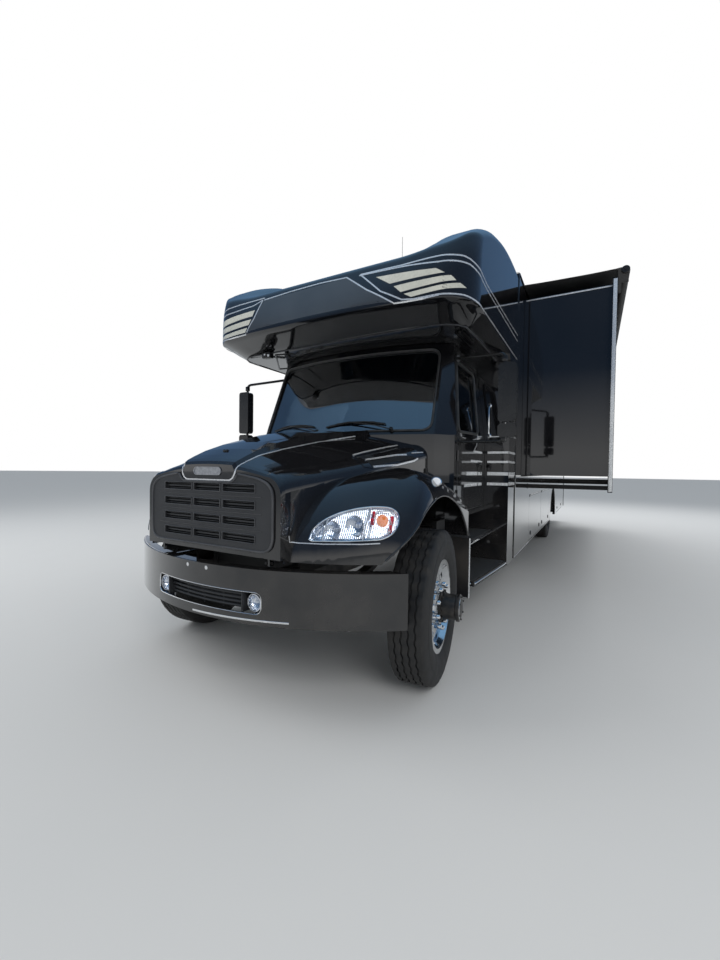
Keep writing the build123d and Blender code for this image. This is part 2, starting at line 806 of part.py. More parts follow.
def build_front_tyre(side):
    with BuildPart() as tyre:
        tyre_ring(wheel_axes(side, front_axle_y, parked_steer_deg))
    return tyre.part


def build_rear_wheels(side):
    """Two discs back to back on one hub, with the brake drum inside the inner one."""
    with BuildPart() as wheels:
        outer = rear_plane(side, rear_outer_tyre_x)
        inner = rear_plane(side, rear_outer_tyre_x - rear_twin_spacing)
        rim_disc(outer, -85, 1)
        rim_disc(inner, 85, -1)
        spun(outer, 120, -rear_twin_spacing / 2 - 80, -40)
        spun(outer, hub_radius, -rear_twin_spacing, 60)
        spun(inner, drum_radius, -150, 60)
        spun(inner, drum_radius - drum_wall, -151, -60, mode=Mode.SUBTRACT)
        bore_end = rear_spindle_end_x + 5 - (rear_outer_tyre_x - rear_twin_spacing)
        spun(inner, rear_spindle_radius + spindle_clearance, -61, bore_end, mode=Mode.SUBTRACT)
    return wheels.part


def build_rear_tyres(side):
    with BuildPart() as tyres:
        for x in (rear_outer_tyre_x, rear_outer_tyre_x - rear_twin_spacing):
            tyre_ring(rear_plane(side, x))
    return tyres.part


def build_knuckle(side):
    """The yoke round the beam's end, its kingpin, and the spindle with the brake's backing plate."""
    plane = wheel_axes(side, front_axle_y, parked_steer_deg)
    with BuildPart() as knuckle:
        tube((side * kingpin_x, front_axle_y, 400), (0, 0, 1), kingpin_radius, 200)
        for z in (400, 564):
            tube((side * kingpin_x, front_axle_y, z), (0, 0, 1), 45, 36)
            with Locations(plane.offset(-99)):
                with Locations((z + 18 - axle_z, 0, 0)):
                    Box(36, 80, 50)
        with Locations(plane.offset(-66)):
            Box(200, 90, 16)
        spun(plane, 150, -60, -54)
        spun(plane, spindle_radius, -60, spindle_length - 60)
    return knuckle.part


# Coach body
opening_low_z = slide_floor_z - slide_opening_gap
opening_high_z = slide_top_z + slide_opening_gap
rear_arch_radius = 600
arm_positions = [slide_front_y + 588, (slide_front_y + slide_rear_y) / 2, slide_rear_y - 612]
arm_low_z = 1195
arm_height = 50
arm_width = 80
right_windows = [
    # front y, rear y, low z, high z
    (4500, 5400, 2050, 2750),
    (6200, 7400, 2050, 2750),
    (coach_rear_y - 2400, coach_rear_y - 1500, 2050, 2750),
]
rear_window = rectangle(-450, 2150, 450, 2800)
slide_windows = [
    (4300, 5500, 2100, 2750),
    (6400, 7800, 2100, 2750),
    (slide_rear_y - 1612, slide_rear_y - 812, 2250, 2750),
]


def build_wall(side):
    """One side of the coach: a bonded panel from the skirt to the roof with its openings cut."""
    low_x, high_x = sorted((side * (coach_half_width - wall_thickness), side * coach_half_width))
    with BuildPart() as wall:
        block((low_x, cap_rear_y, skirt_z), (high_x, coach_rear_y - wall_thickness, wall_top_z))
        tube((-1400, rear_axle_y, axle_z), (1, 0, 0), rear_arch_radius, 2800, mode=Mode.SUBTRACT)
        for name, door_side, front_y, rear_y in storage_doors:
            if door_side == side:
                side_prism(rectangle(front_y, storage_bottom_z, rear_y, storage_top_z),
                           low_x - 10, high_x + 10, grow=panel_gap, mode=Mode.SUBTRACT)
        if side > 0:
            side_prism(rectangle(slide_front_y, slide_floor_z, slide_rear_y, slide_top_z),
                       low_x - 10, high_x + 10, grow=slide_opening_gap, mode=Mode.SUBTRACT)
            for y in arm_positions:
                side_prism(rectangle(y - arm_width / 2, arm_low_z, y + arm_width / 2, arm_low_z + arm_height),
                           low_x - 10, high_x + 10, grow=8, mode=Mode.SUBTRACT)
        else:
            side_prism(rectangle(entry_front_y, entry_bottom_z, entry_rear_y, entry_top_z),
                       low_x - 10, high_x + 10, grow=panel_gap, mode=Mode.SUBTRACT)
            for front_y, rear_y, low_z, high_z in right_windows:
                side_prism(rectangle(front_y, low_z, rear_y, high_z), low_x - 10, high_x + 10,
                           radius=60, mode=Mode.SUBTRACT)
    return wall.part


def build_windows(side, table, inner_x, thickness):
    """The panes in one wall, in its plane."""
    with BuildPart() as panes:
        for front_y, rear_y, low_z, high_z in table:
            low_x, high_x = sorted((side * inner_x, side * (inner_x + thickness)))
            side_prism(rectangle(front_y, low_z, rear_y, high_z), low_x, high_x, radius=60)
        if side < 0:
            front_prism(rear_window, coach_rear_y - 14, coach_rear_y - 8, radius=60)
    return panes.part


def build_floor():
    """The coach floor on its cross bearers, which stand on the rails between the slide's arms."""
    inner = coach_half_width - wall_thickness - panel_gap
    bearers = [3300, 4700, 6100, 7500, 8900, arm_positions[-1] - 400, coach_rear_y - 400]
    low = floor_top_z - floor_thickness
    with BuildPart() as floor:
        block((-inner, cap_back_y + cap_shell + panel_gap, low),
              (inner, coach_rear_y - wall_thickness - panel_gap, floor_top_z))
        block((-inner - 10, entry_front_y, low - 10), (stair_inner_x, entry_rear_y, floor_top_z + 10),
              mode=Mode.SUBTRACT)
        for y in bearers:
            block((-rail_outer_x, y - 40, rail_top_z), (rail_outer_x, y + 40, low))
    return floor.part


def build_rear_wall():
    with BuildPart() as wall:
        block((-coach_half_width, coach_rear_y - wall_thickness, skirt_z),
              (coach_half_width, coach_rear_y, wall_top_z))
        front_prism(rear_window, coach_rear_y - 100, coach_rear_y + 10,
                    radius=60, mode=Mode.SUBTRACT)
        front_prism(rectangle(-50, 545, 50, 655), coach_rear_y - 100, coach_rear_y + 10, mode=Mode.SUBTRACT)
    return wall.part


def build_roof():
    with BuildPart() as roof:
        with BuildSketch(Plane.XZ.offset(-cap_rear_y)):
            with BuildLine():
                Polyline((coach_half_width, wall_top_z + 12), (coach_half_width, wall_top_z),
                         (-coach_half_width, wall_top_z), (-coach_half_width, wall_top_z + 12))
                ThreePointArc((-coach_half_width, wall_top_z + 12), (0, roof_crown_z),
                              (coach_half_width, wall_top_z + 12))
            make_face()
        extrude(amount=cap_rear_y - coach_rear_y)
    return roof.part


def cap_form(inset):
    """The over-cab cap's form: nose, crown and the strip that runs down behind the cab."""
    half = coach_half_width - inset
    with BuildPart() as form:
        with BuildSketch(Plane.YZ.offset(-half)):
            with BuildLine():
                Polyline((1215 + inset, 3020), (cap_front_y + inset, cap_belly_z + 75),
                         (cap_front_y + inset + 60, cap_belly_z + inset),
                         (cap_back_y + inset, cap_belly_z + inset),
                         (cap_back_y + inset, skirt_z), (cap_rear_y, skirt_z),
                         (cap_rear_y, roof_crown_z - inset),
                         (2750, roof_crown_z - inset))
                ThreePointArc((2750, roof_crown_z - inset), (1800, 3400 - inset), (1215 + inset, 3020))
            make_face()
        extrude(amount=2 * half)
        with BuildSketch(Plane.XY.offset(skirt_z)) as plan:
            with BuildLine():
                side_y = cap_side_y + inset
                ThreePointArc((-half, side_y), (0, cap_front_y + inset), (half, side_y))
                Polyline((half, side_y), (half, cap_rear_y), (-half, cap_rear_y), (-half, side_y))
            make_face()
            fillet(plan.vertices().group_by(Axis.Y)[0], cap_corner_radius - inset)
        extrude(amount=roof_crown_z - skirt_z, mode=Mode.INTERSECT)
        with BuildSketch(Plane.XZ) as front:
            with BuildLine():
                Polyline((half, 3520 - inset), (half, skirt_z), (-half, skirt_z), (-half, 3520 - inset))
                ThreePointArc((-half, 3520 - inset), (0, roof_crown_z - inset), (half, 3520 - inset))
            make_face()
            fillet(front.vertices().group_by(Axis.Y)[-1], cap_side_radius - inset)
        extrude(amount=-cap_rear_y, mode=Mode.INTERSECT)
    return form.part


def build_cap():
    with BuildPart() as cap:
        add(cap_form(0))
        add(cap_form(cap_shell), mode=Mode.SUBTRACT)
        # Opening through to the cab, and its opening up into the bed
        front_prism(walk_through, cap_back_y - 10, cap_back_y + 100, mode=Mode.SUBTRACT)
        # Below the floor the frame, tank and stairs pass under the strip
        front_prism(rectangle(-800, 400, 800, 1240), cap_back_y - 10, cap_back_y + 100, mode=Mode.SUBTRACT)
        block((-(coach_half_width - cap_shell), cap_back_y + cap_shell, skirt_z - 10),
              (coach_half_width - cap_shell, cap_rear_y + 10, cap_belly_z + 100), mode=Mode.SUBTRACT)
    return cap.part


def build_storage_boxes():
    """Open-sided boxes hung from the rails, one behind each pair or single storage door."""
    reach = 20
    inner_x = 560
    with BuildPart() as boxes:
        for front_y, rear_y in (
            (storage_doors[0][2] - reach, storage_doors[1][3] + reach),
            (rear_bay_front_y - reach, rear_bay_end_y + reach),
        ):
            for side in (1, -1):
                low_x, high_x = sorted((side * inner_x, side * (coach_half_width - wall_thickness - 2)))
                block((low_x, front_y, skirt_z + 10), (high_x, rear_y, storage_top_z + 60))
                low_x, high_x = sorted((side * (inner_x + 20), side * coach_half_width))
                block((low_x, front_y + 15, skirt_z + 25), (high_x, rear_y - 15, storage_top_z + 45),
                      mode=Mode.SUBTRACT)
                low_x, high_x = sorted((side * rail_outer_x, side * inner_x))
                for y in (front_y + 200, rear_y - 200):
                    block((low_x, y - 40, 880), (high_x, y + 40, 960))
    return boxes.part


def build_storage_door(side, front_y, rear_y):
    """A flush panel with a long hinge barrel on its top edge."""
    low_x, high_x = sorted((side * (coach_half_width - storage_thickness), side * coach_half_width))
    barrel_z = storage_top_z + hinge_beyond - 1
    with BuildPart() as door:
        side_prism(rectangle(front_y, storage_bottom_z, rear_y, storage_top_z), low_x, high_x)
        tube((side * (coach_half_width + hinge_out), front_y + 60, barrel_z), (0, 1, 0), hinge_radius,
             rear_y - front_y - 120)
        low_x, high_x = sorted((side * (coach_half_width - 2), side * (coach_half_width + hinge_out)))
        block((low_x, front_y + 60, storage_top_z - 25), (high_x, rear_y - 60, storage_top_z))
    return door.part


def build_entry_door():
    """The entry door, a framed panel with a tall window and three hinge barrels on its front edge."""
    with BuildPart() as door:
        side_prism(rectangle(entry_front_y, entry_bottom_z, entry_rear_y, entry_top_z),
                   -coach_half_width, wall_thickness - coach_half_width)
        side_prism(entry_window, -coach_half_width - 30, wall_thickness - coach_half_width + 20,
                   radius=50, mode=Mode.SUBTRACT)
        for z in (entry_bottom_z + 200, entry_bottom_z + 1000, entry_top_z - 300):
            tube((-coach_half_width - hinge_out, entry_front_y - hinge_beyond, z), (0, 0, 1),
                 hinge_radius, 100)
            block((-coach_half_width - hinge_out, entry_front_y - hinge_beyond + 1, z),
                  (2 - coach_half_width, entry_front_y + 25, z + 100))
    return door.part


def build_entry_glass():
    with BuildPart() as pane:
        side_prism(entry_window, 15 - coach_half_width, 15 + glass_thickness - coach_half_width, radius=50)
    return pane.part


tread_low_z = entry_bottom_z - 30
tread_middle_z = 1045
tread_thickness = 25
riser_thickness = 20
tread_middle_x = -1000


def build_stairwell():
    """Two inside treads from the threshold up to the floor, and the folded step below."""
    with BuildPart() as stairs:
        inner = wall_thickness + 5 - coach_half_width
        middle_top = tread_middle_z + tread_thickness
        for low_x, high_x, low_z, high_z in (
            (inner, stair_inner_x, tread_low_z, tread_low_z + tread_thickness),
            (stair_inner_x - riser_thickness, stair_inner_x, tread_low_z, middle_top),
            (tread_middle_x, stair_inner_x, tread_middle_z, middle_top),
            (tread_middle_x, tread_middle_x + riser_thickness, tread_low_z, middle_top),
            (stair_inner_x - riser_thickness, stair_inner_x, tread_middle_z, floor_top_z - 85),
        ):
            block((low_x, entry_front_y, low_z), (high_x, entry_rear_y, high_z))
        # The folding step, drawn in under the threshold on two hangers
        block((inner + 25, entry_front_y + 80, 660), (-800, entry_rear_y - 80, 700))
        for x in (-1100, -900):
            block((x, entry_front_y + 100, 695), (x + 40, entry_rear_y - 100, tread_low_z + 2))
        # Brackets in from the frame rail
        for y in (entry_front_y + 200, entry_rear_y - 260):
            block((stair_inner_x, y, 860), (-rail_outer_x, y + 60, 940))
    return stairs.part


# Slide-out room
box_outer_x = coach_half_width + slide_extension
box_inner_x = coach_half_width - 85


def build_slide_outer_wall():
    with BuildPart() as wall:
        block((box_outer_x, slide_front_y - outer_wall_lap, outer_wall_bottom_z),
              (box_outer_x + outer_wall_thickness, slide_rear_y + outer_wall_lap, outer_wall_top_z))
        for front_y, rear_y, low_z, high_z in slide_windows:
            side_prism(rectangle(front_y, low_z, rear_y, high_z), box_outer_x - 10,
                       box_outer_x + outer_wall_thickness + 10, radius=60, mode=Mode.SUBTRACT)
    return wall.part


def build_slide_box():
    """The room's floor, roof and end walls, one ring of bonded panels behind the outer wall."""
    with BuildPart() as box:
        block((box_inner_x, slide_front_y, slide_floor_z), (box_outer_x, slide_rear_y, slide_top_z))
        block((box_inner_x - 1, slide_front_y + slide_wall, slide_floor_z + slide_wall),
              (box_outer_x + 1, slide_rear_y - slide_wall, slide_top_z - slide_wall), mode=Mode.SUBTRACT)
    return box.part


def build_slide_arms():
    """The tubes that carry the room, through the side wall to the foot of the outer wall."""
    with BuildPart() as arms:
        for y in arm_positions:
            block((520, y - arm_width / 2, arm_low_z),
                  (box_outer_x, y + arm_width / 2, arm_low_z + arm_height))
    return arms.part


roller_x = box_outer_x + 110
roller_z = 3516
roller_radius = 42


def build_topper_roller():
    """The awning tube over the slide's outer edge, on an arm at each end."""
    with BuildPart() as roller:
        tube((roller_x, slide_front_y - 25, roller_z), (0, 1, 0), roller_radius,
             slide_rear_y - slide_front_y + 50)
        for y in (slide_front_y - 46, slide_rear_y + 22):
            block((box_outer_x + outer_wall_thickness, y, outer_wall_top_z - 160),
                  (box_outer_x + outer_wall_thickness + 30, y + 24, roller_z + 30))
            block((box_outer_x + outer_wall_thickness, y, outer_wall_top_z - 60),
                  (roller_x + 30, y + 24, roller_z + 30))
    return roller.part


def build_topper_fabric():
    """The fabric from the roof's edge out to the roller, tight as it hangs over the open slide."""
    with BuildPart() as fabric:
        block((coach_half_width - 30, slide_front_y - 10, roof_crown_z - 24),
              (roller_x, slide_rear_y + 10, roof_crown_z - 20))
    return fabric.part


# On the outside of the coach
def build_air_conditioners():
    with BuildPart() as units:
        for y in (4600, 8200):
            with BuildSketch(Plane.YZ.offset(-360)):
                with BuildLine():
                    Polyline((y - 500, roof_crown_z), (y - 500, roof_crown_z + 90),
                             (y - 330, roof_crown_z + 250), (y + 460, roof_crown_z + 270),
                             (y + 500, roof_crown_z + 200),
                             (y + 500, roof_crown_z), close=True)
                make_face()
            extrude(amount=720)
    return units.part


def build_patio_awning():
    with BuildPart() as awning:
        front = 4300
        tube((-coach_half_width - 62, front, 3400), (0, 1, 0), 52, 5200)
        block((-coach_half_width - 40, front, 3330), (-coach_half_width, front + 5200, 3470))
    return awning.part


def build_tail_lamps():
    with BuildPart() as lamps:
        for x in (110 - coach_half_width, coach_half_width - 110):
            for low_z, high_z in ((1050, 1250), (1280, 1480)):
                front_prism(rectangle(x - 55, low_z, x + 55, high_z), coach_rear_y, coach_rear_y + 22,
                            radius=20)
    return lamps.part


def build_jacks():
    """Four levelling jacks, drawn up, each on a bracket beside the frame."""
    with BuildPart() as jacks:
        for y in (cap_back_y + 250, rail_rear_y - 630):
            for side in (1, -1):
                x = side * 500
                tube((x, y, 400), (0, 0, 1), 45, 560)
                tube((x, y, 380), (0, 0, 1), 110, 20)
                block((x - 68, y - 60, 760), (x + 68, y + 60, 900))
    return jacks.part


def build_fuel_tank():
    with BuildPart() as tank:
        front_prism(rectangle(rail_outer_x + 38, 520, coach_half_width - 140, 1130), 3120, 4000, radius=110)
        for y in (3300, 3820):
            block((rail_outer_x, y - 30, 860), (rail_outer_x + 48, y + 30, 940))
    return tank.part


hitch_low_z = 560
hitch_rear_y = coach_rear_y + 100
hitch_length = 500
hitch_half = 38
socket_half = 25.4
hitch_pin_y = hitch_rear_y - 45
hitch_pin_radius = 8.2
cross_tube_front_y = rail_rear_y - 140
cross_tube_rear_y = rail_rear_y - 60


def build_hitch():
    """The square receiver under the rear, on its cross tube and side plates."""
    with BuildPart() as hitch:
        block((-rail_outer_x - 8, cross_tube_front_y, 640), (rail_outer_x + 8, cross_tube_rear_y, 720))
        for side in (1, -1):
            x = side * (rail_outer_x + 12)
            block((x - 12, cross_tube_front_y - 40, hitch_low_z), (x + 12, rail_rear_y, 960))
        socket_z = hitch_low_z + hitch_half
        block((-hitch_half, hitch_rear_y - hitch_length, hitch_low_z),
              (hitch_half, hitch_rear_y, hitch_low_z + 2 * hitch_half + 4))
        block((-socket_half, hitch_rear_y - hitch_length + 10, socket_z - socket_half),
              (socket_half, hitch_rear_y + 10, socket_z + socket_half), mode=Mode.SUBTRACT)
        tube((-60, hitch_pin_y, socket_z), (1, 0, 0), hitch_pin_radius, 120, mode=Mode.SUBTRACT)
        for x in (-120, 120):
            block((x - 8, cross_tube_front_y, 600), (x + 8, cross_tube_rear_y, 650))
    return hitch.part


keep("frame_rails", build_frame())
keep("front_axle", build_front_axle())
keep("rear_axle", build_rear_axle())
keep("engine_block", build_engine())
keep("radiator", build_radiator())
keep("fuel_tank", build_fuel_tank())
keep("levelling_jacks", build_jacks())
keep("hitch_receiver", build_hitch())
keep("front_bumper", build_bumper())
keep("fog_lamps", build_fog_lamps())
keep("hood", build_hood())
keep("grille", build_grille())
keep("headlamps", build_headlamps())
keep("cab_shell", build_cab_shell())
keep("windscreen", build_windscreen())
keep("dashboard", build_dashboard())
keep("cab_seats", build_seats())
keep("cab_steps", build_cab_steps())
keep("cab_door_left", build_cab_door())
keep("cab_door_right", other_side(build_cab_door()))
keep("door_glass_left", build_door_glass())
keep("door_glass_right", other_side(build_door_glass()))
keep("mirror_left", build_mirror())
keep("mirror_right", other_side(build_mirror()))
for hand, side in (("left", 1), ("right", -1)):
    keep(f"knuckle_{hand}", build_knuckle(side))
    keep(f"front_wheel_{hand}", build_front_wheel(side))
    keep(f"front_tyre_{hand}", build_front_tyre(side))
    keep(f"rear_wheels_{hand}", build_rear_wheels(side))
    keep(f"rear_tyres_{hand}", build_rear_tyres(side))
    keep(f"coach_wall_{hand}", build_wall(side))
keep("over_cab_cap", build_cap())
keep("coach_floor", build_floor())
keep("coach_rear_wall", build_rear_wall())
keep("coach_roof", build_roof())
keep("coach_windows", build_windows(-1, right_windows, coach_half_width - 14, 6))
keep("storage_boxes", build_storage_boxes())
keep("entry_stairwell", build_stairwell())
keep("entry_door", build_entry_door())
keep("entry_door_glass", build_entry_glass())
for name, side, front_y, rear_y in storage_doors:
    keep(f"storage_door_{name}", build_storage_door(side, front_y, rear_y))
keep("slide_outer_wall", build_slide_outer_wall())
keep("slide_box", build_slide_box())
keep("slide_windows", build_windows(1, slide_windows, box_outer_x + 30, 6))
keep("slide_arms", build_slide_arms())
keep("slide_awning_roller", build_topper_roller())
keep("slide_awning_fabric", build_topper_fabric())
keep("roof_air_conditioners", build_air_conditioners())
keep("patio_awning", build_patio_awning())
keep("tail_lamps", build_tail_lamps())

# The origin is under the middle of the whole vehicle as it stands, slide-out and mirrors included.
boxes = [part.bounding_box() for part in pieces.values()]
middle_x = (min(b.min.X for b in boxes) + max(b.max.X for b in boxes)) / 2
middle_y = (min(b.min.Y for b in boxes) + max(b.max.Y for b in boxes)) / 2
ground_z = min(b.min.Z for b in boxes)
print(f"{len(pieces)} pieces, origin at {middle_x:.3f} {middle_y:.3f} {ground_z:.3f}")
for name, part in pieces.items():
    placed = part.moved(Location((-middle_x, -middle_y, -ground_z)))
    placed.label = name
    export_step(placed, f"parts/{name}.step")
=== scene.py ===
import math
import random

import bmesh
import bpy
from mathutils import Matrix, Vector
from mathutils.bvhtree import BVHTree


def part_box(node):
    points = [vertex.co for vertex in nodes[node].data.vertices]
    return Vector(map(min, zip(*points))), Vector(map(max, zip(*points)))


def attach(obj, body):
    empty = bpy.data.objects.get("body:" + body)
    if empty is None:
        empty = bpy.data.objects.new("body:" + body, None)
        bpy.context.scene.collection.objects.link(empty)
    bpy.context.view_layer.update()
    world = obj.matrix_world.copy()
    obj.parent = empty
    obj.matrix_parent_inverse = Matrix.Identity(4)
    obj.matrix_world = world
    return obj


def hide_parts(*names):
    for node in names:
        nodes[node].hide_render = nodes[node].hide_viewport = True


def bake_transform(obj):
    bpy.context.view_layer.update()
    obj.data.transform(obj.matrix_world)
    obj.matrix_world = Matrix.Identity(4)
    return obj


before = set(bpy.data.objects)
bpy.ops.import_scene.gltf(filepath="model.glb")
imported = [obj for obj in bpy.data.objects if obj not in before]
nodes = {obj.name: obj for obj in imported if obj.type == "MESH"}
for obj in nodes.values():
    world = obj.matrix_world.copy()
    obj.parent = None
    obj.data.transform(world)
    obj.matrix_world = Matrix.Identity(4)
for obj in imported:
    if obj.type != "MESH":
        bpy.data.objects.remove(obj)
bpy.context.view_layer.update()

# Where things are: every place below is in metres from the ground under the middle of the front
# bumper's leading edge, x to the vehicle's left, y to its rear, z up. The bumper fixes that point.
bumper_low, bumper_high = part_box("front_bumper")
nose = Vector(((bumper_low.x + bumper_high.x) / 2, bumper_low.y, 0))

# The view: a phone's wide lens held at chest height ahead of the left headlamp, looking along the
# vehicle's left side, a little downward and a little tilted.
eye = nose + Vector((2.009, -1.614, 1.390))
yaw = 0.518
pitch = math.radians(-1.317)
roll = math.radians(0.764)
focal_pixels = 408.573
picture_height = 960
sensor = 36
forward = Vector((-math.sin(yaw) * math.cos(pitch), math.cos(yaw) * math.cos(pitch), math.sin(pitch)))
level_right = Vector((math.cos(yaw), math.sin(yaw), 0))
level_up = level_right.cross(forward)
right = math.cos(roll) * level_right + math.sin(roll) * level_up
up = math.cos(roll) * level_up - math.sin(roll) * level_right
camera_data = bpy.data.cameras.new("camera")
camera_data.sensor_width = sensor
camera_data.lens = focal_pixels / picture_height * sensor
camera_data.clip_end = 400
camera = bpy.data.objects.new("camera", camera_data)
bpy.context.scene.collection.objects.link(camera)
camera.matrix_world = Matrix((
    (right.x, up.x, -forward.x, eye.x),
    (right.y, up.y, -forward.y, eye.y),
    (right.z, up.z, -forward.z, eye.z),
    (0, 0, 0, 1),
))
bpy.context.scene.camera = camera
bpy.context.scene.view_settings.view_transform = "Standard"


# Shader sums: a value that comes out of a node can be added, multiplied and so on, as a number can,
# and a finish collects the nodes of one material.
class Value:
    def __init__(self, finish, socket):
        self.finish = finish
        self.socket = socket

    def sum_with(self, operation, first, second=0.0):
        return self.finish.node("Math", {"operation": operation}, {0: first, 1: second})

    def __add__(self, other):
        return self.sum_with("ADD", self, other)

    def __sub__(self, other):
        return self.sum_with("SUBTRACT", self, other)

    def __rsub__(self, other):
        return self.sum_with("SUBTRACT", other, self)

    def __mul__(self, other):
        return self.sum_with("MULTIPLY", self, other)

    def fade(self, low, high, at_low=0.0, at_high=1.0):
        """The value carried from the range low to high into another, and held at its ends."""
        return self.finish.node("MapRange", {}, {0: self, 1: low, 2: high, 3: at_low, 4: at_high})

    def wave(self):
        return self.sum_with("SINE", self)

    def most(self, other):
        return self.sum_with("MAXIMUM", self, other)

    __radd__ = __add__
    __rmul__ = __mul__


class Finish:
    def __init__(self, name, tree=None):
        self.material = None
        self.tree = tree
        if tree is None:
            self.material = bpy.data.materials.new(name)
            self.material.use_nodes = True
            self.tree = self.material.node_tree
            self.shader = self.tree.nodes["Principled BSDF"]

    def node(self, kind, settings, inputs, output=0):
        """Adds a node with its settings, then the values or links of its sockets."""
        made = self.tree.nodes.new("ShaderNode" + kind)
        for name, value in settings.items():
            setattr(made, name, value)
        for name, value in inputs.items():
            self.join(made.inputs[name], value)
        return Value(self, made.outputs[output])

    def join(self, socket, value):
        if isinstance(value, Value):
            self.tree.links.new(value.socket, socket)
        elif socket.type == "RGBA":
            socket.default_value = (*value, 1)
        else:
            socket.default_value = value

    def surface(self, **values):
        """Sets the sockets of the material's own shader: base_color, roughness and so on."""
        names = {key.name.lower().replace(" ", "_"): key for key in self.shader.inputs}
        for name, value in values.items():
            self.join(names[name], value)

    def place(self, axis):
        """How far along x, y or z a point of the piece lies, from the vehicle's own origin."""
        here = self.node("TexCoord", {}, {}, "Object")
        return self.node("SeparateXYZ", {}, {0: here}, "XYZ".index(axis)) - nose["XYZ".index(axis)]

    def noise(self, scale, detail=2.0, rough=0.5, stretch=(1, 1, 1)):
        here = self.node("TexCoord", {}, {}, "Object")
        spread = self.node("VectorMath", {"operation": "MULTIPLY"}, {0: here, 1: stretch})
        return self.node("TexNoise", {}, {"Vector": spread, "Scale": scale, "Detail": detail,
                                          "Roughness": rough})

    def blend(self, amount, first, second):
        """A colour between two, by an amount that varies over the surface."""
        return self.node("Mix", {"data_type": "RGBA"}, {0: amount, 6: first, 7: second}, 2)

    def bump(self, height, depth, strength=1.0):
        raised = self.node("Bump", {}, {"Height": height, "Distance": depth, "Strength": strength})
        self.surface(normal=raised)


def mottled(name, first, second, grain, span, shine, shine_grain=None, **others):
    """A finish of two shades that drift into each other with a noise. Its roughness is one number, or
    two that follow the same drift, or two that follow a noise of their own."""
    finish = Finish(name)
    drift = finish.noise(*grain).fade(*span)
    if shine_grain:
        shine = finish.noise(*shine_grain).fade(0.3, 0.7, *shine)
    elif isinstance(shine, tuple):
        shine = drift.fade(0, 1, *shine)
    finish.surface(base_color=finish.blend(drift, first, second), roughness=shine, **others)
    return finish


def glass(name, colour, ior, grain, shine, through=1.0):
    """Clear or tinted glass or plastic with a faint film on it."""
    finish = Finish(name)
    finish.surface(base_color=colour, transmission_weight=through, ior=ior,
                   roughness=finish.noise(*grain).fade(0.3, 0.8, *shine))
    return finish


# The studio: a pale floor and three large soft lamps. Mirrors, glass and paint see a pale room near the
# horizon under a dim blue ceiling, a little brighter overhead, and they don't see the lamps.
floor_colour = (0.70, 0.70, 0.69)
room_colour = (0.93, 0.94, 0.95)
ceiling_colour = (0.075, 0.14, 0.25)
overhead_colour = (0.20, 0.39, 0.62)
world = bpy.data.worlds.new("studio")
bpy.context.scene.world = world
world.use_nodes = True
world.node_tree.nodes.clear()
air = Finish("studio", world.node_tree)
ray = air.node("TexCoord", {}, {}, "Generated")
height_seen = air.node("SeparateXYZ", {}, {0: ray}, 2)
seen_colour = air.blend(height_seen.fade(0.04, 0.22), room_colour, ceiling_colour)
seen_colour = air.blend(height_seen.fade(0.5, 0.95), seen_colour, overhead_colour)
is_camera = air.node("LightPath", {}, {}, "Is Camera Ray")
is_mirror = air.node("LightPath", {}, {}, "Is Glossy Ray")
is_through = air.node("LightPath", {}, {}, "Is Transmission Ray")
seen_colour = air.blend(is_camera, seen_colour, (1, 1, 1))
lighting = air.node("Background", {}, {"Color": (0.9, 0.95, 1.0), "Strength": 0.55})
seen = air.node("Background", {}, {"Color": seen_colour, "Strength": 1.0})
studio_air = air.node("MixShader", {}, {0: is_camera.most(is_mirror).most(is_through), 1: lighting, 2: seen})
studio_out = world.node_tree.nodes.new("ShaderNodeOutputWorld")
world.node_tree.links.new(studio_air.socket, studio_out.inputs["Surface"])

lamps = [
    # name, place, aimed at, size, power
    ("key_lamp", (9.0, -7.0, 9.0), (0, 1.5, 1.5), 6.0, 620),
    ("fill_lamp", (-9.0, -3.0, 8.0), (0, 3.0, 1.5), 7.0, 420),
    ("far_lamp", (2.0, 15.0, 10.0), (0, 8.0, 2.0), 8.0, 700),
]
for name, place, target, size, power in lamps:
    lamp_data = bpy.data.lights.new(name, "AREA")
    lamp_data.size = size
    lamp_data.energy = power
    lamp = bpy.data.objects.new(name, lamp_data)
    bpy.context.scene.collection.objects.link(lamp)
    lamp.location = nose + Vector(place)
    lamp.visible_glossy = False
    aim = Vector(target) - Vector(place)
    lamp.rotation_euler = aim.to_track_quat("-Z", "Y").to_euler()

floor_half = 150
floor_mesh = bpy.data.meshes.new("floor")
floor_mesh.from_pydata([(-floor_half, -floor_half, 0), (floor_half, -floor_half, 0),
                        (floor_half, floor_half, 0), (-floor_half, floor_half, 0)], [], [(0, 1, 2, 3)])
floor_finish = Finish("floor_finish")
floor_finish.surface(base_color=floor_colour, roughness=floor_finish.noise(3.0).fade(0.3, 0.7, 0.75, 0.9))
floor_mesh.materials.append(floor_finish.material)
floor = bpy.data.objects.new("floor", floor_mesh)
bpy.context.scene.collection.objects.link(floor)


# Paint: black base coat under clear lacquer on nearly every outer panel, slightly rippled as sprayed
# fibreglass and steel are, with road dust low down.
def coat(finish, *names):
    """Gives a finish to pieces of the frame, in every slot that they have."""
    for name in names:
        piece = nodes[name]
        if not piece.data.materials:
            piece.data.materials.append(finish.material)
        for number in range(len(piece.data.materials)):
            piece.data.materials[number] = finish.material


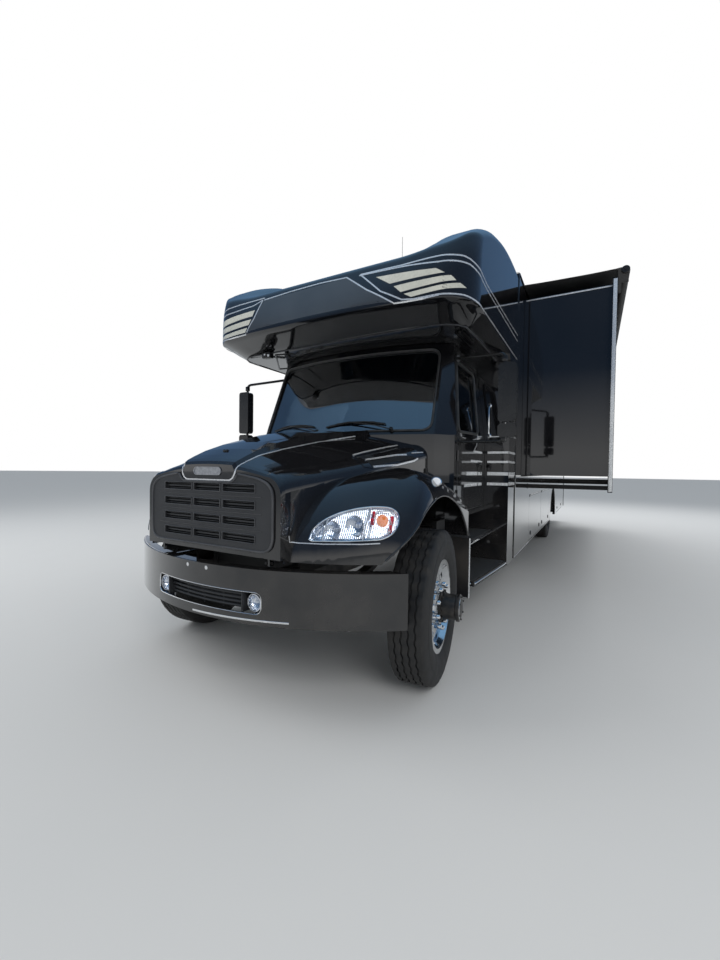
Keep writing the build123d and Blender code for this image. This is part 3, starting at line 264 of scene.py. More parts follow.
gloss_black = Finish("gloss_black_paint")
black_low = (0.006, 0.006, 0.007)
black_high = (0.0101, 0.0101, 0.01145)
dust = gloss_black.place("Z").fade(0.35, 1.3, 1.0, 0.0) * gloss_black.noise(5.0, 4.0).fade(0.35, 0.75)
lacquer = gloss_black.blend(gloss_black.noise(1.2, 2.0).fade(0.3, 0.7), black_low, black_high)
gloss_black.surface(
    base_color=gloss_black.blend(dust * 0.12, lacquer, (0.30, 0.27, 0.23)),
    roughness=dust * 0.09 + gloss_black.noise(60.0, 2.0).fade(0.3, 0.7, 0.06, 0.10),
    coat_weight=1.0,
    coat_roughness=0.03,
    specular_ior_level=0.25,
)
gloss_black.bump(gloss_black.noise(260.0, 1.0), 0.00012, 0.12)
coat(gloss_black, "hood", "front_bumper", "cab_shell", "cab_door_left", "cab_door_right", "over_cab_cap",
     "coach_wall_left", "coach_wall_right", "coach_rear_wall", "entry_door", "slide_outer_wall", "slide_box",
     *[name for name in nodes if name.startswith("storage_door")])

# Frame, axles and brackets: hot-rolled steel dipped in satin black chassis paint, with road film and a
# little rust where stones have chipped it.
chassis_black = Finish("chassis_black")
chips = chassis_black.noise(22.0, 6.0, 0.65).fade(0.66, 0.74)
film = chassis_black.noise(3.0, 3.0).fade(0.35, 0.7)
film_colour = chassis_black.blend(film, (0.012, 0.012, 0.013), (0.05, 0.045, 0.04))
chassis_black.surface(
    base_color=chassis_black.blend(chips, film_colour, (0.13, 0.05, 0.02)),
    roughness=film.fade(0, 1, 0.42, 0.75),
    specular_ior_level=0.4,
)
chassis_black.bump(chassis_black.noise(90.0, 3.0), 0.0006, 0.35)
coat(chassis_black, "frame_rails", "front_axle", "rear_axle", "knuckle_left", "knuckle_right",
     "hitch_receiver", "cab_steps", "entry_stairwell", "slide_arms")

# Other metal of the chassis: galvanised jacks and boxes, a cast engine, a finned radiator, a brushed
# aluminium tank and polished aluminium wheels.
zinc_steel = mottled("zinc_steel", (0.36, 0.37, 0.38), (0.52, 0.53, 0.54), (45.0, 1.0), (0.4, 0.6),
                     (0.38, 0.55), metallic=0.9)
coat(zinc_steel, "levelling_jacks", "storage_boxes")
engine_grey = mottled("engine_grey", (0.10, 0.10, 0.10), (0.20, 0.19, 0.18), (9.0, 5.0), (0.35, 0.65), 0.75)
engine_grey.bump(engine_grey.noise(140.0, 3.0), 0.001, 0.5)
coat(engine_grey, "engine_block")
radiator_black = Finish("radiator_black")
fins = (radiator_black.place("Z") * 2500.0).wave().fade(-1, 1)
radiator_black.surface(base_color=radiator_black.blend(fins, (0.012, 0.012, 0.012), (0.06, 0.06, 0.06)),
                       roughness=0.6, metallic=0.4)
coat(radiator_black, "radiator")
aluminium_plate = mottled("aluminium_plate", (0.50, 0.51, 0.52), (0.66, 0.67, 0.68),
                          (60.0, 3.0, 0.6, (1, 0.05, 1)), (0.3, 0.7), (0.25, 0.42), metallic=1.0)
coat(aluminium_plate, "fuel_tank")
polished = mottled("polished_aluminium", (0.72, 0.73, 0.74), (0.82, 0.83, 0.84), (30.0, 3.0), (0.3, 0.7),
                   (0.06, 0.16), metallic=1.0)
coat(polished, "front_wheel_left", "front_wheel_right", "rear_wheels_left", "rear_wheels_right")

# Rubber, moulded plastics and leather: tyres, grille, dashboard, seats, mirror heads and the cases on the
# roof and the right wall.
rubber = mottled("tyre_rubber", (0.012, 0.012, 0.012), (0.035, 0.033, 0.031), (14.0, 4.0),
                 (0.35, 0.7), (0.62, 0.85))
rubber.bump(rubber.noise(300.0, 2.0), 0.0004, 0.4)
coat(rubber, "front_tyre_left", "front_tyre_right", "rear_tyres_left", "rear_tyres_right")
charcoal = mottled("grille_charcoal", (0.020, 0.021, 0.023), (0.030, 0.031, 0.034), (4.0,), (0.3, 0.7),
                   (0.42, 0.58), (900.0, 1.0), specular_ior_level=0.45)
charcoal.bump(charcoal.noise(900.0, 1.0), 0.0002, 0.3)
coat(charcoal, "grille")
interior_grey = mottled("interior_grey", (0.05, 0.05, 0.05), (0.075, 0.075, 0.075), (30.0,), (0.3, 0.7), 0.7)
coat(interior_grey, "dashboard")
seat_leather = mottled("seat_leather", (0.07, 0.065, 0.06), (0.11, 0.10, 0.095), (220.0, 3.0), (0.35, 0.65),
                       (0.4, 0.6), (220.0, 3.0))
seat_leather.bump(seat_leather.noise(220.0, 3.0), 0.0005, 0.3)
coat(seat_leather, "cab_seats")
mirror_black = mottled("mirror_black", (0.010, 0.010, 0.010), (0.016, 0.016, 0.016), (10.0,), (0.3, 0.7),
                       (0.16, 0.26), (80.0,))
coat(mirror_black, "mirror_left", "mirror_right")
unit_black = mottled("unit_black", (0.02, 0.02, 0.02), (0.03, 0.03, 0.03), (12.0,), (0.3, 0.7),
                     (0.38, 0.5), (200.0,))
coat(unit_black, "roof_air_conditioners", "patio_awning")

# Glass and lenses: tinted body glass, a darker windscreen, clear lamp covers, and red tail lamps, whose
# plastic is rougher than the glass.
tinted = glass("tinted_glass", (0.10, 0.12, 0.14), 1.9, (20.0, 3.0), (0.0, 0.03))
coat(tinted, "door_glass_left", "door_glass_right", "coach_windows", "entry_door_glass", "slide_windows")
screen_glass = glass("windscreen_glass", (0.03, 0.05, 0.07), 3.0, (20.0, 3.0), (0.0, 0.02))
coat(screen_glass, "windscreen")
clear_lens = glass("clear_lens", (0.95, 0.96, 0.97), 1.4, (40.0, 3.0), (0.0, 0.04))
coat(clear_lens, "headlamps", "fog_lamps")
red_lens = glass("red_lens", (0.5, 0.01, 0.01), 1.45, (40.0, 2.0), (0.05, 0.12), 0.6)
coat(red_lens, "tail_lamps")

# Floor, roof and slide awning: a plywood floor, a chalky white roof membrane, and a fine woven vinyl on the
# awning's tube.
floor_board = mottled("floor_board", (0.25, 0.17, 0.10), (0.36, 0.25, 0.15), (8.0, 4.0, 0.6, (1, 6, 1)),
                      (0.3, 0.7), (0.5, 0.7))
coat(floor_board, "coach_floor")
roof_white = mottled("roof_white", (0.66, 0.66, 0.64), (0.55, 0.54, 0.52), (2.5, 4.0),
                     (0.35, 0.7), (0.35, 0.55))
coat(roof_white, "coach_roof")
roller_vinyl = mottled("roller_vinyl", (0.028, 0.027, 0.026), (0.045, 0.043, 0.040), (400.0, 2.0),
                       (0.35, 0.65), 0.7)
roller_vinyl.bump(roller_vinyl.noise(400.0, 2.0), 0.0004, 0.4)
coat(roller_vinyl, "slide_awning_roller")
awning_cloth = mottled("awning_cloth", (0.05, 0.05, 0.052), (0.08, 0.08, 0.08), (4.0, 3.0), (0.3, 0.7), 0.8)
threads = (awning_cloth.place("Y") * 3000.0).wave() * (awning_cloth.place("X") * 3000.0).wave()
awning_cloth.bump(threads, 0.0003, 0.3)
coat(awning_cloth, "slide_awning_fabric")


# Tyres: all-position ribbed truck tyres, moulded black rubber on every wheel. Four zigzag grooves run
# round the tread, each rib is cut by fine sipes, and rings and blocks stand up on the sidewalls.
def add_piece(name, shape, body, finish, replaces=(), crease=35):
    """Turns a shape drawn from the vehicle's origin into a piece, which rides on a body if one is given."""
    bmesh.ops.translate(shape, verts=shape.verts[:], vec=nose)
    bmesh.ops.recalc_face_normals(shape, faces=shape.faces[:])
    mesh = bpy.data.meshes.new(name)
    shape.to_mesh(mesh)
    shape.free()
    for face in mesh.polygons:
        face.use_smooth = True
    mesh.set_sharp_from_angle(angle=math.radians(crease))
    mesh.materials.append(finish.material)
    piece = bpy.data.objects.new(name, mesh)
    bpy.context.scene.collection.objects.link(piece)
    if body:
        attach(piece, body)
    if replaces:
        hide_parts(*replaces)
    return piece


def walls(shape, loops, closed=True):
    """Faces between loops of as many corners, one loop after another. An open loop isn't joined up."""
    for first, second in zip(loops, loops[1:]):
        for a in range(len(first) if closed else len(first) - 1):
            b = (a + 1) % len(first)
            shape.faces.new((first[a], first[b], second[b], second[a]))


def lathe(shape, profile, centre, axis, steps=48, weave=None):
    """Turns a profile of (distance along the axis, radius) round an axis. weave may shift a point."""
    spin = Vector((0, 0, 1)).rotation_difference(Vector(axis)).to_matrix()
    rings = []
    for step in range(steps):
        angle = 2 * math.pi * step / steps
        ring = []
        for number, (along, radius) in enumerate(profile):
            if weave:
                along, radius = weave(number, step, along, radius)
            spot = Vector((radius * math.cos(angle), radius * math.sin(angle), along))
            ring.append(shape.verts.new(Vector(centre) + spin @ spot))
        rings.append(ring)
    walls(shape, rings + rings[:1], closed=False)


tyre_radius = 0.5015
tyre_half = 0.125
rim_radius = 0.286
tread_half = 0.098
groove_places = (-0.062, -0.021, 0.021, 0.062)
groove_half = 0.0055
groove_depth = 0.012
zigzag = 0.003
sipe_depth = 0.004
tread_steps = 160
sidewall_points = 16
first_groove_point = sidewall_points + 1
block_points = range(12, sidewall_points)


def tyre_profile():
    """Half sidewall, tread with its grooves, other sidewall, and back along the bead seat."""
    side = [(-0.083, 0.288), (-0.100, 0.300), (-0.112, 0.322), (-0.119, 0.340), (-0.1195, 0.346),
            (-0.1225, 0.352), (-0.1245, 0.375), (-0.125, 0.395), (-0.1245, 0.415), (-0.1225, 0.432),
            (-0.1200, 0.436), (-0.1195, 0.448), (-0.1160, 0.462), (-0.1130, 0.474), (-0.1080, 0.486),
            (-0.1010, 0.4955)]
    tread = [(-tread_half + 0.003, tyre_radius - 0.0025)]
    for place in groove_places:
        crown = tyre_radius - 0.0022 * (place / tread_half) ** 2
        tread += [(place - groove_half, crown), (place - groove_half + 0.0015, crown - groove_depth),
                  (place + groove_half - 0.0015, crown - groove_depth), (place + groove_half, crown)]
    tread.append((tread_half - 0.003, tyre_radius - 0.0025))
    return side + tread + [(-along, radius) for along, radius in reversed(side)]


tyre_points = tyre_profile()
groove_numbers = range(first_groove_point, first_groove_point + 4 * len(groove_places))


def tread_weave(number, step, along, radius):
    """Swings the grooves' edges from side to side, and sinks a sipe's edge at every fourth step."""
    if number in groove_numbers:
        along += zigzag * (1 if step % 4 < 2 else -1)
        if step % 4 == 0 and (number - first_groove_point) % 4 in (0, 3):
            radius -= sipe_depth
    elif min(number, len(tyre_points) - 1 - number) in block_points and step % 8 < 2:
        radius -= sipe_depth
    return along, radius


kingpin_x = 0.930
front_tyre_x = 1.054
front_axle_y = 0.980
rear_axle_y = 8.100
axle_z = 0.5015
parked_steer = math.radians(6)
rear_outer_tyre_x = 1.065
rear_inner_tyre_x = 0.745


def front_hub(side):
    """A front wheel's middle and its outward axle direction, as it stands turned."""
    out = Vector((side * math.cos(parked_steer), side * math.sin(parked_steer), 0))
    return Vector((side * kingpin_x, front_axle_y, axle_z)) + (front_tyre_x - kingpin_x) * out, out


for hand, side in (("left", 1), ("right", -1)):
    middle, out = front_hub(side)
    tyre = bmesh.new()
    lathe(tyre, tyre_points, middle, out, tread_steps, tread_weave)
    add_piece(f"front_tyre_{hand}_tread", tyre, f"front_wheel_{hand}", rubber,
              [f"front_tyre_{hand}"], 28)
    pair = bmesh.new()
    for x in (rear_outer_tyre_x, rear_inner_tyre_x):
        lathe(pair, tyre_points, (side * x, rear_axle_y, axle_z), (side, 0, 0), tread_steps, tread_weave)
    add_piece(f"rear_tyres_{hand}_tread", pair, f"rear_wheels_{hand}", rubber,
              [f"rear_tyres_{hand}"], 28)

# Wheel fittings: ten chromed lug-nut covers on the bolt circle, and on the front wheels a black oil-bath
# hub with its own ring of bolts, on the rear a domed axle flange with eight.
chrome = mottled("chrome", (0.80, 0.81, 0.82), (0.70, 0.71, 0.72), (25.0, 3.0),
                 (0.35, 0.7), (0.03, 0.12), metallic=1.0)
hub_black = mottled("hub_black", (0.012, 0.012, 0.012), (0.04, 0.035, 0.03), (30.0, 4.0), (0.4, 0.7),
                    (0.3, 0.5), (60.0,))
bolt_circle = 0.1425
lug_count = 10
lug_cover = [(0.0, 0.0195), (0.004, 0.0195), (0.006, 0.0165), (0.044, 0.0150), (0.050, 0.0125),
             (0.054, 0.006), (0.055, 0.0)]


def stud(radius, height):
    """The profile of a plain bolt head."""
    return [(0.0, radius), (height, radius), (height + 0.001, 0.0)]


def ring_of(shape, profile, centre, axis, radius, count, steps, phase=0.0):
    """Sets turned studs in a ring about an axle."""
    spin = Vector((0, 0, 1)).rotation_difference(Vector(axis)).to_matrix()
    for number in range(count):
        angle = 2 * math.pi * (number + phase) / count
        spot = spin @ Vector((radius * math.cos(angle), radius * math.sin(angle), 0))
        lathe(shape, profile, Vector(centre) + spot, axis, steps)


for hand, side in (("left", 1), ("right", -1)):
    middle, out = front_hub(side)
    covers = bmesh.new()
    ring_of(covers, lug_cover, middle + 0.072 * out, out, bolt_circle, lug_count, 12)
    add_piece(f"front_lug_covers_{hand}", covers, f"front_wheel_{hand}", chrome)
    hub = bmesh.new()
    lathe(hub, [(0.075, 0.110), (0.110, 0.108), (0.114, 0.100), (0.116, 0.086), (0.200, 0.080),
                (0.206, 0.088), (0.222, 0.088), (0.228, 0.080), (0.231, 0.060), (0.232, 0.0)],
          middle, out, 48)
    ring_of(hub, stud(0.009, 0.010), middle + 0.112 * out, out, 0.098, 12, 6, 0.5)
    ring_of(hub, stud(0.006, 0.007), middle + 0.229 * out, out, 0.071, 6, 6)
    add_piece(f"front_hub_{hand}_cover", hub, f"front_wheel_{hand}", hub_black)
    axle = Vector((side, 0, 0))
    outer = Vector((side * rear_outer_tyre_x, rear_axle_y, axle_z))
    covers = bmesh.new()
    ring_of(covers, lug_cover, outer - 0.070 * axle, axle, bolt_circle, lug_count, 12)
    add_piece(f"rear_lug_covers_{hand}", covers, f"rear_wheels_{hand}", chrome)
    flange = bmesh.new()
    lathe(flange, [(-0.078, 0.112), (-0.030, 0.110), (-0.020, 0.100), (0.010, 0.096), (0.018, 0.104),
                   (0.030, 0.104), (0.036, 0.096), (0.046, 0.060), (0.064, 0.050), (0.068, 0.0)],
          outer, axle, 40)
    ring_of(flange, stud(0.010, 0.012), outer + 0.032 * axle, axle, 0.082, 8, 6)
    add_piece(f"rear_hub_{hand}_flange", flange, f"rear_wheels_{hand}", hub_black)

# Grille: a moulded charcoal plastic panel clipped into the hood. A rounded lip runs round its outline, each
# slot has a rolled rim, and thin blades stand in every slot before a black mesh.
def eased(outline, radius, steps=4):
    """A closed outline with its corners rounded."""
    made = []
    for number, corner in enumerate(outline):
        corner = Vector(corner)
        before = Vector(outline[number - 1]) - corner
        after = Vector(outline[(number + 1) % len(outline)]) - corner
        reach = min(radius, before.length * 0.49, after.length * 0.49)
        start = corner + before.normalized() * reach
        end = corner + after.normalized() * reach
        for step in range(steps + 1):
            t = step / steps
            made.append(start.lerp(corner, t).lerp(corner.lerp(end, t), t))
    return made


def rectangle(low_a, low_b, high_a, high_b, radius=0.0, steps=4):
    """A rectangle's outline, with rounded corners where a radius is given."""
    corners = [(low_a, low_b), (high_a, low_b), (high_a, high_b), (low_a, high_b)]
    return eased(corners, radius, steps) if radius else [Vector(corner) for corner in corners]


def drawn_in(outline, distance):
    """A closed outline moved inward; a negative distance moves it outward."""
    area = sum(outline[n - 1][0] * p[1] - p[0] * outline[n - 1][1] for n, p in enumerate(outline))
    turn = 1 if area > 0 else -1
    made = []
    for number, point in enumerate(outline):
        before = (Vector(point) - Vector(outline[number - 1])).normalized()
        after = (Vector(outline[(number + 1) % len(outline)]) - Vector(point)).normalized()
        inward = Vector((-before.y - after.y, before.x + after.x)) * turn
        if inward.length < 1e-6:
            inward = Vector((-before.y, before.x)) * turn
        inward.normalize()
        square = max(0.5, inward.dot(Vector((-before.y, before.x)) * turn))
        made.append(Vector(point) + inward * distance / square)
    return made


def from_front(y):
    """Places (across, up, toward the front) on a plane across the vehicle."""
    return lambda a, b, out: Vector((a, y - out, b))


def from_side(x, side=1):
    """Places (rearward, up, outward) on a plane along the vehicle."""
    return lambda a, b, out: Vector((x + side * out, a, b))


def on_level(z):
    """Places (across, rearward, upward) on a level plane."""
    return lambda a, b, out: Vector((a, b, z + out))


def spaced(outline, step):
    """A closed outline with points added along its longer edges."""
    made = []
    for number, point in enumerate(outline):
        after = outline[(number + 1) % len(outline)]
        parts = max(1, int((after - point).length / step))
        made += [point.lerp(after, part / parts) for part in range(parts)]
    return made


def on_side(side, points):
    """The same places on the left, side 1, or mirrored to the right, side -1."""
    return [(side * x, y, z) for x, y, z in points]


def rim(shape, outer, inner, place, low, high):
    """A flat ring between two outlines of as many points, from one depth to another."""
    loops = [[shape.verts.new(place(p[0], p[1], depth)) for p in outline]
             for outline, depth in ((outer, low), (outer, high), (inner, high), (inner, low))]
    walls(shape, loops + loops[:1])


def plate(shape, outline, place, low, high, ease=0.0):
    """A flat plate with an outline, its outer edge eased back where asked."""
    levels = [(outline, low), (outline, high - ease)]
    if ease:
        levels.append((drawn_in(outline, ease), high))
    loops = [[shape.verts.new(place(p[0], p[1], depth)) for p in edge] for edge, depth in levels]
    walls(shape, loops)
    shape.faces.new(loops[0])
    shape.faces.new(loops[-1])


def block(shape, low, high, ease=0.0):
    """A block between two opposite corners, its edges eased."""
    size = [b - a for a, b in zip(low, high)]
    middle = [(a + b) / 2 for a, b in zip(low, high)]
    made = bmesh.ops.create_cube(shape, size=1.0)["verts"]
    bmesh.ops.scale(shape, vec=size, verts=made)
    bmesh.ops.translate(shape, vec=middle, verts=made)
    if ease:
        edges = {edge for vert in made for edge in vert.link_edges}
        bmesh.ops.bevel(shape, geom=list(edges), offset=ease, segments=2, profile=0.5, affect="EDGES")


def bar(shape, points, radius, steps=8, closed=False, flat=1.0):
    """A round bar along points, mitred where it turns. flat squeezes it upward."""
    route = [Vector(p) for p in points]
    if closed:
        route = [route[-1]] + route + [route[0]]
    rings = []
    side = None
    for number in range(1, len(route) - 1) if closed else range(len(route)):
        before = (route[number] - route[number - 1]).normalized() if number else None
        after = (route[number + 1] - route[number]).normalized() if number + 1 < len(route) else None
        along = ((before or after) + (after or before)).normalized()
        if side is None:
            side = along.orthogonal().normalized()
            if abs(along.z) < 0.9:
                side = along.cross(Vector((0, 0, 1))).normalized()
        side = (side - side.dot(along) * along).normalized()
        lift = along.cross(side)
        stretch = 1 / max(0.5, along.dot(after or before))
        ring = []
        for step in range(steps):
            angle = 2 * math.pi * (step + 0.5) / steps
            spot = side * math.cos(angle) * stretch + lift * math.sin(angle) * flat
            ring.append(shape.verts.new(route[number] + radius * spot))
        rings.append(ring)
    walls(shape, rings + rings[:1] if closed else rings)
    if not closed:
        shape.faces.new(rings[0])
        shape.faces.new(rings[-1])


grille_half = [(0, 1.318), (0.200, 1.318), (0.222, 1.326), (0.250, 1.360), (0.262, 1.364), (0.300, 1.360),
               (0.420, 1.340), (0.480, 1.318), (0.514, 1.284), (0.524, 1.240), (0.524, 1.005), (0.508, 0.958),
               (0.470, 0.934), (0.430, 0.930)]
grille_outline = eased(grille_half + [(-x, z) for x, z in reversed(grille_half[1:])], 0.02, 3)
grille_front = 0.057
slot_heights = (1.282, 1.188, 1.094, 1.000)
slot_half_height = 0.024
slot_spans = ((-0.392, -0.135), (-0.115, 0.115), (0.135, 0.392))
grille_face = from_front(grille_front)
lip = bmesh.new()
bar(lip, [grille_face(p.x, p.y, 0.0) for p in drawn_in(grille_outline, 0.004)], 0.007, 8, True)
for z in slot_heights:
    for low_x, high_x in slot_spans:
        edge = rectangle(low_x, z - slot_half_height, high_x, z + slot_half_height, 0.009)
        bar(lip, [grille_face(p.x, p.y, 0.001) for p in edge], 0.0035, 6, True)
for z in (1.235, 1.141, 1.047):
    bar(lip, [grille_face(x, z, 0.001) for x in (-0.44, 0.44)], 0.0022, 6)
grille_lip = mottled("grille_lip", (0.045, 0.046, 0.050), (0.065, 0.066, 0.070), (9.0,), (0.3, 0.7),
                     (0.30, 0.42), (500.0,))
add_piece("grille_lip_and_slot_rims", lip, "hood", grille_lip)

blades = bmesh.new()
for z in slot_heights:
    for step in (-0.0145, 0.0145):
        for low_x, high_x in slot_spans:
            block(blades, (low_x - 0.002, grille_front + 0.010, z + step - 0.0022),
                  (high_x + 0.002, grille_front + 0.034, z + step + 0.0022), 0.001)
add_piece("grille_blades", blades, "hood", charcoal)
mesh_black = Finish("grille_mesh")
wires = (mesh_black.place("X") * 1100.0).wave().most((mesh_black.place("Z") * 1100.0).wave())
wire_colour = mesh_black.blend(wires.fade(0.6, 0.9), (0.002, 0.002, 0.002), (0.03, 0.03, 0.03))
mesh_black.surface(base_color=wire_colour, roughness=0.7)
mesh_black.bump(wires, 0.001, 0.5)
screen = bmesh.new()
plate(screen, rectangle(-0.405, 0.965, 0.405, 1.310, 0.02), from_front(0.101), 0.0, 0.003)
add_piece("grille_mesh", screen, "hood", mesh_black)


# Hood trim: a silver pinstripe moulding stuck round the raised centre and under the badge panel, a bare
# stamped badge with no lettering, and the screen-washer nozzle.
def skin_of(*names):
    """The faces of pieces of the frame, to lay trim on."""
    points, faces = [], []
    for name in names:
        start = len(points)
        points += [vert.co - nose for vert in nodes[name].data.vertices]
        faces += [[start + corner for corner in face.vertices] for face in nodes[name].data.polygons]
    return BVHTree.FromPolygons(points, faces)


def lay(shape, grid, skin, height, sink=0.0006):
    """Lays a thin plate over a grid of points, each drawn onto the skin below it."""
    top, low = [], []
    for row in grid:
        feet = [skin.find_nearest(Vector(point))[:2] for point in row]
        top.append([shape.verts.new(foot + height * normal) for foot, normal in feet])
        low.append([shape.verts.new(foot - sink * normal) for foot, normal in feet])
    last = len(grid[0]) - 1
    for i in range(len(grid) - 1):
        for c in range(last):
            shape.faces.new((top[i][c], top[i][c + 1], top[i + 1][c + 1], top[i + 1][c]))
            shape.faces.new((low[i][c], low[i + 1][c], low[i + 1][c + 1], low[i][c + 1]))
        for c in (0, last):
            shape.faces.new((top[i][c], top[i + 1][c], low[i + 1][c], low[i][c]))
    for i in (0, len(grid) - 1):
        for c in range(last):
            shape.faces.new((top[i][c], top[i][c + 1], low[i][c + 1], low[i][c]))


def stripe(shape, points, width, skin, height=0.001, step=0.03, sink=0.0006):
    """Lays a strip of even width along points near a skin."""
    route = [Vector(point) for point in points]
    spots = []
    for first, second in zip(route, route[1:]):
        parts = max(1, math.ceil((second - first).length / step))
        spots += [first.lerp(second, part / parts) for part in range(parts)]
    spots = [skin.find_nearest(spot)[0] for spot in spots + [route[-1]]]
    grid = []
    for number, spot in enumerate(spots):
        along = spots[min(number + 1, len(spots) - 1)] - spots[max(number - 1, 0)]
        across = skin.find_nearest(spot)[1].cross(along).normalized() * width / 2
        grid.append((spot - across, spot + across))
    lay(shape, grid, skin, height, sink)


def patch(shape, corners, skin, height, rows=4, columns=8, sink=0.0006):
    """Lays a four-cornered plate on a skin, its corners given in order round it."""
    a, b, c, d = (Vector(corner) for corner in corners)
    grid = [[a.lerp(b, i / columns).lerp(d.lerp(c, i / columns), j / rows) for i in range(columns + 1)]
            for j in range(rows + 1)]
    lay(shape, grid, skin, height, sink)


silver = mottled("silver_trim", (0.78, 0.79, 0.80), (0.66, 0.67, 0.68), (40.0, 3.0), (0.35, 0.7),
                 (0.22, 0.34), metallic=0.55, coat_weight=0.5)
hood_skin = skin_of("hood")
hood_foot = [(0.355, 1.200, 1.662), (0.328, 0.970, 1.623), (0.306, 0.760, 1.590),
             (0.287, 0.375, 1.511), (0.262, 0.240, 1.474), (0.253, 0.150, 1.440), (0.245, 0.100, 1.418),
             (0.238, 0.078, 1.402), (0.232, 0.066, 1.384), (0.226, 0.062, 1.360), (0.212, 0.062, 1.338),
             (0.196, 0.062, 1.328), (0.180, 0.062, 1.3235)]
pinstripe = bmesh.new()
stripe(pinstripe, hood_foot + on_side(-1, reversed(hood_foot)), 0.009, hood_skin, 0.0018, 0.02)
add_piece("hood_pinstripe", pinstripe, "hood", silver)

badge_outline = eased([(-0.1225, 1.3765), (-0.108, 1.352), (0.108, 1.352), (0.1225, 1.3765), (0.108, 1.401),
                       (-0.108, 1.401)], 0.016)
badge = bmesh.new()
badge_face = from_front(0.062)
rim(badge, badge_outline, drawn_in(badge_outline, 0.005), badge_face, -0.001, 0.006)
plate(badge, drawn_in(badge_outline, 0.0045), badge_face, -0.001, 0.003, 0.001)
badge_silver = mottled("badge_silver", (0.42, 0.43, 0.45), (0.30, 0.31, 0.33), (50.0, 3.0), (0.35, 0.65),
                       (0.26, 0.38), (300.0,), metallic=0.8)
add_piece("hood_badge_bare", badge, "hood", badge_silver)
nozzle = bmesh.new()
for side in (1, -1):
    foot, normal = hood_skin.find_nearest(Vector((side * 0.012, 0.205, 1.50)))[:2]
    lathe(nozzle, [(-0.001, 0.006), (0.006, 0.006), (0.010, 0.0045), (0.012, 0.0)], foot, normal, 12)
foot = hood_skin.find_nearest(Vector((0, 0.205, 1.50)))[0]
block(nozzle, foot - Vector((0.020, 0.009, 0.003)), foot + Vector((0.020, 0.009, 0.006)), 0.002)
add_piece("hood_washer_nozzle", nozzle, "hood", mirror_black)

# Hood sides: louvred intakes on both flanks under a silver bead, each a flat patch of black mesh laid between
# the slats, whose darkness also paints the shade inside the intake's recess; rubber hold-down latches, round
# white marker lamps on the fender crowns, and a rolled lip round each wheel arch.
intake_ledges = [
    [(0.581, 0.790, 1.490), (0.598, 0.914, 1.516), (0.621, 1.036, 1.539), (0.647, 1.166, 1.563),
     (0.679, 1.296, 1.585)],
    [(0.670, 0.803, 1.459), (0.699, 0.904, 1.472), (0.728, 1.019, 1.490), (0.753, 1.117, 1.503),
     (0.786, 1.224, 1.510)],
    [(0.714, 0.831, 1.415), (0.744, 0.956, 1.425), (0.772, 1.078, 1.432), (0.817, 1.289, 1.468),
     (0.827, 1.345, 1.488)],
]
intake_front = [(0.581, 0.790, 1.490), (0.652, 0.745, 1.450), (0.686, 0.755, 1.417), (0.714, 0.831, 1.410)]
rear_line = [(0.800, 1.300, 1.530), (0.826, 1.400, 1.538), (0.838, 1.440, 1.541)]
intake_mesh_and_shade = bmesh.new()
slats = bmesh.new()
beads = bmesh.new()
latches = bmesh.new()
arch_lip = bmesh.new()
markers = bmesh.new()
marker_rims = bmesh.new()
arch_radius = 0.730
arch_start = 26
arch_step = 5.35
arch_points = 25
for side in (1, -1):
    routes = [[Vector(point) for point in on_side(side, route)] for route in intake_ledges]
    for upper, lower in zip(routes, routes[1:]):
        ends = ((0, 0.2), (-1, 0.2), (-1, 0.85), (0, 0.85))
        corners = [upper[end].lerp(lower[end], share) for end, share in ends]
        # Black mesh laid flat on the skin between two slats. Its darkness also stands in for the shade inside
        # the recess, which is painted shade, not cut.
        patch(intake_mesh_and_shade, corners, hood_skin, 0.0012, 6, 16)
    for route in routes:
        stripe(slats, route, 0.020, hood_skin, 0.006, 0.04, 0.0)
        stripe(beads, route, 0.012, hood_skin, 0.009, 0.04, 0.0)
    stripe(slats, on_side(side, intake_front), 0.012, hood_skin, 0.005, 0.03, 0.0)
    stripe(beads, on_side(side, rear_line), 0.007, hood_skin, 0.003, 0.03, 0.0)
    foot = hood_skin.find_nearest(Vector((side * 1.103, 1.000, 1.318)))[0]
    facing = Vector((side * 0.42, -0.68, 0.60)).normalized()
    lathe(markers, [(0.012, 0.030), (0.018, 0.027), (0.023, 0.016), (0.025, 0.0)], foot, facing, 28)
    lathe(marker_rims, [(-0.024, 0.0), (-0.022, 0.026), (0.006, 0.033), (0.016, 0.036), (0.019, 0.033),
                        (0.017, 0.029), (0.010, 0.0)], foot, facing, 28)
    arc = []
    for step in range(arch_points):
        angle = math.radians(arch_start + arch_step * step)
        arc.append((side * 1.163, front_axle_y - arch_radius * math.cos(angle),
                    axle_z + arch_radius * math.sin(angle)))
    edge = [hood_skin.find_nearest(Vector(point))[0] for point in arc]
    bar(arch_lip, edge, 0.0065, 8)
    foot = hood_skin.find_nearest(Vector((side * 0.905, 1.455, 1.37)))[0]
    for half in (Vector((0.012, 0.016, 0.045)), Vector((0.018, 0.022, 0.012))):
        block(latches, foot - half, foot + half, 0.006)
add_piece("hood_intake_openings", intake_mesh_and_shade, "hood", mesh_black)
add_piece("hood_intake_slats", slats, "hood", gloss_black)
add_piece("hood_intake_beads", beads, "hood", silver)
add_piece("hood_latches", latches, "hood", rubber)
add_piece("wheel_arch_lips", arch_lip, "hood", gloss_black)
lamp_white = mottled("lamp_divider", (0.88, 0.90, 0.93), (0.78, 0.80, 0.84), (20.0,), (0.3, 0.7), 0.3)
add_piece("fender_marker_lenses", markers, "hood", lamp_white)
add_piece("fender_marker_rims", marker_rims, "hood", chrome)


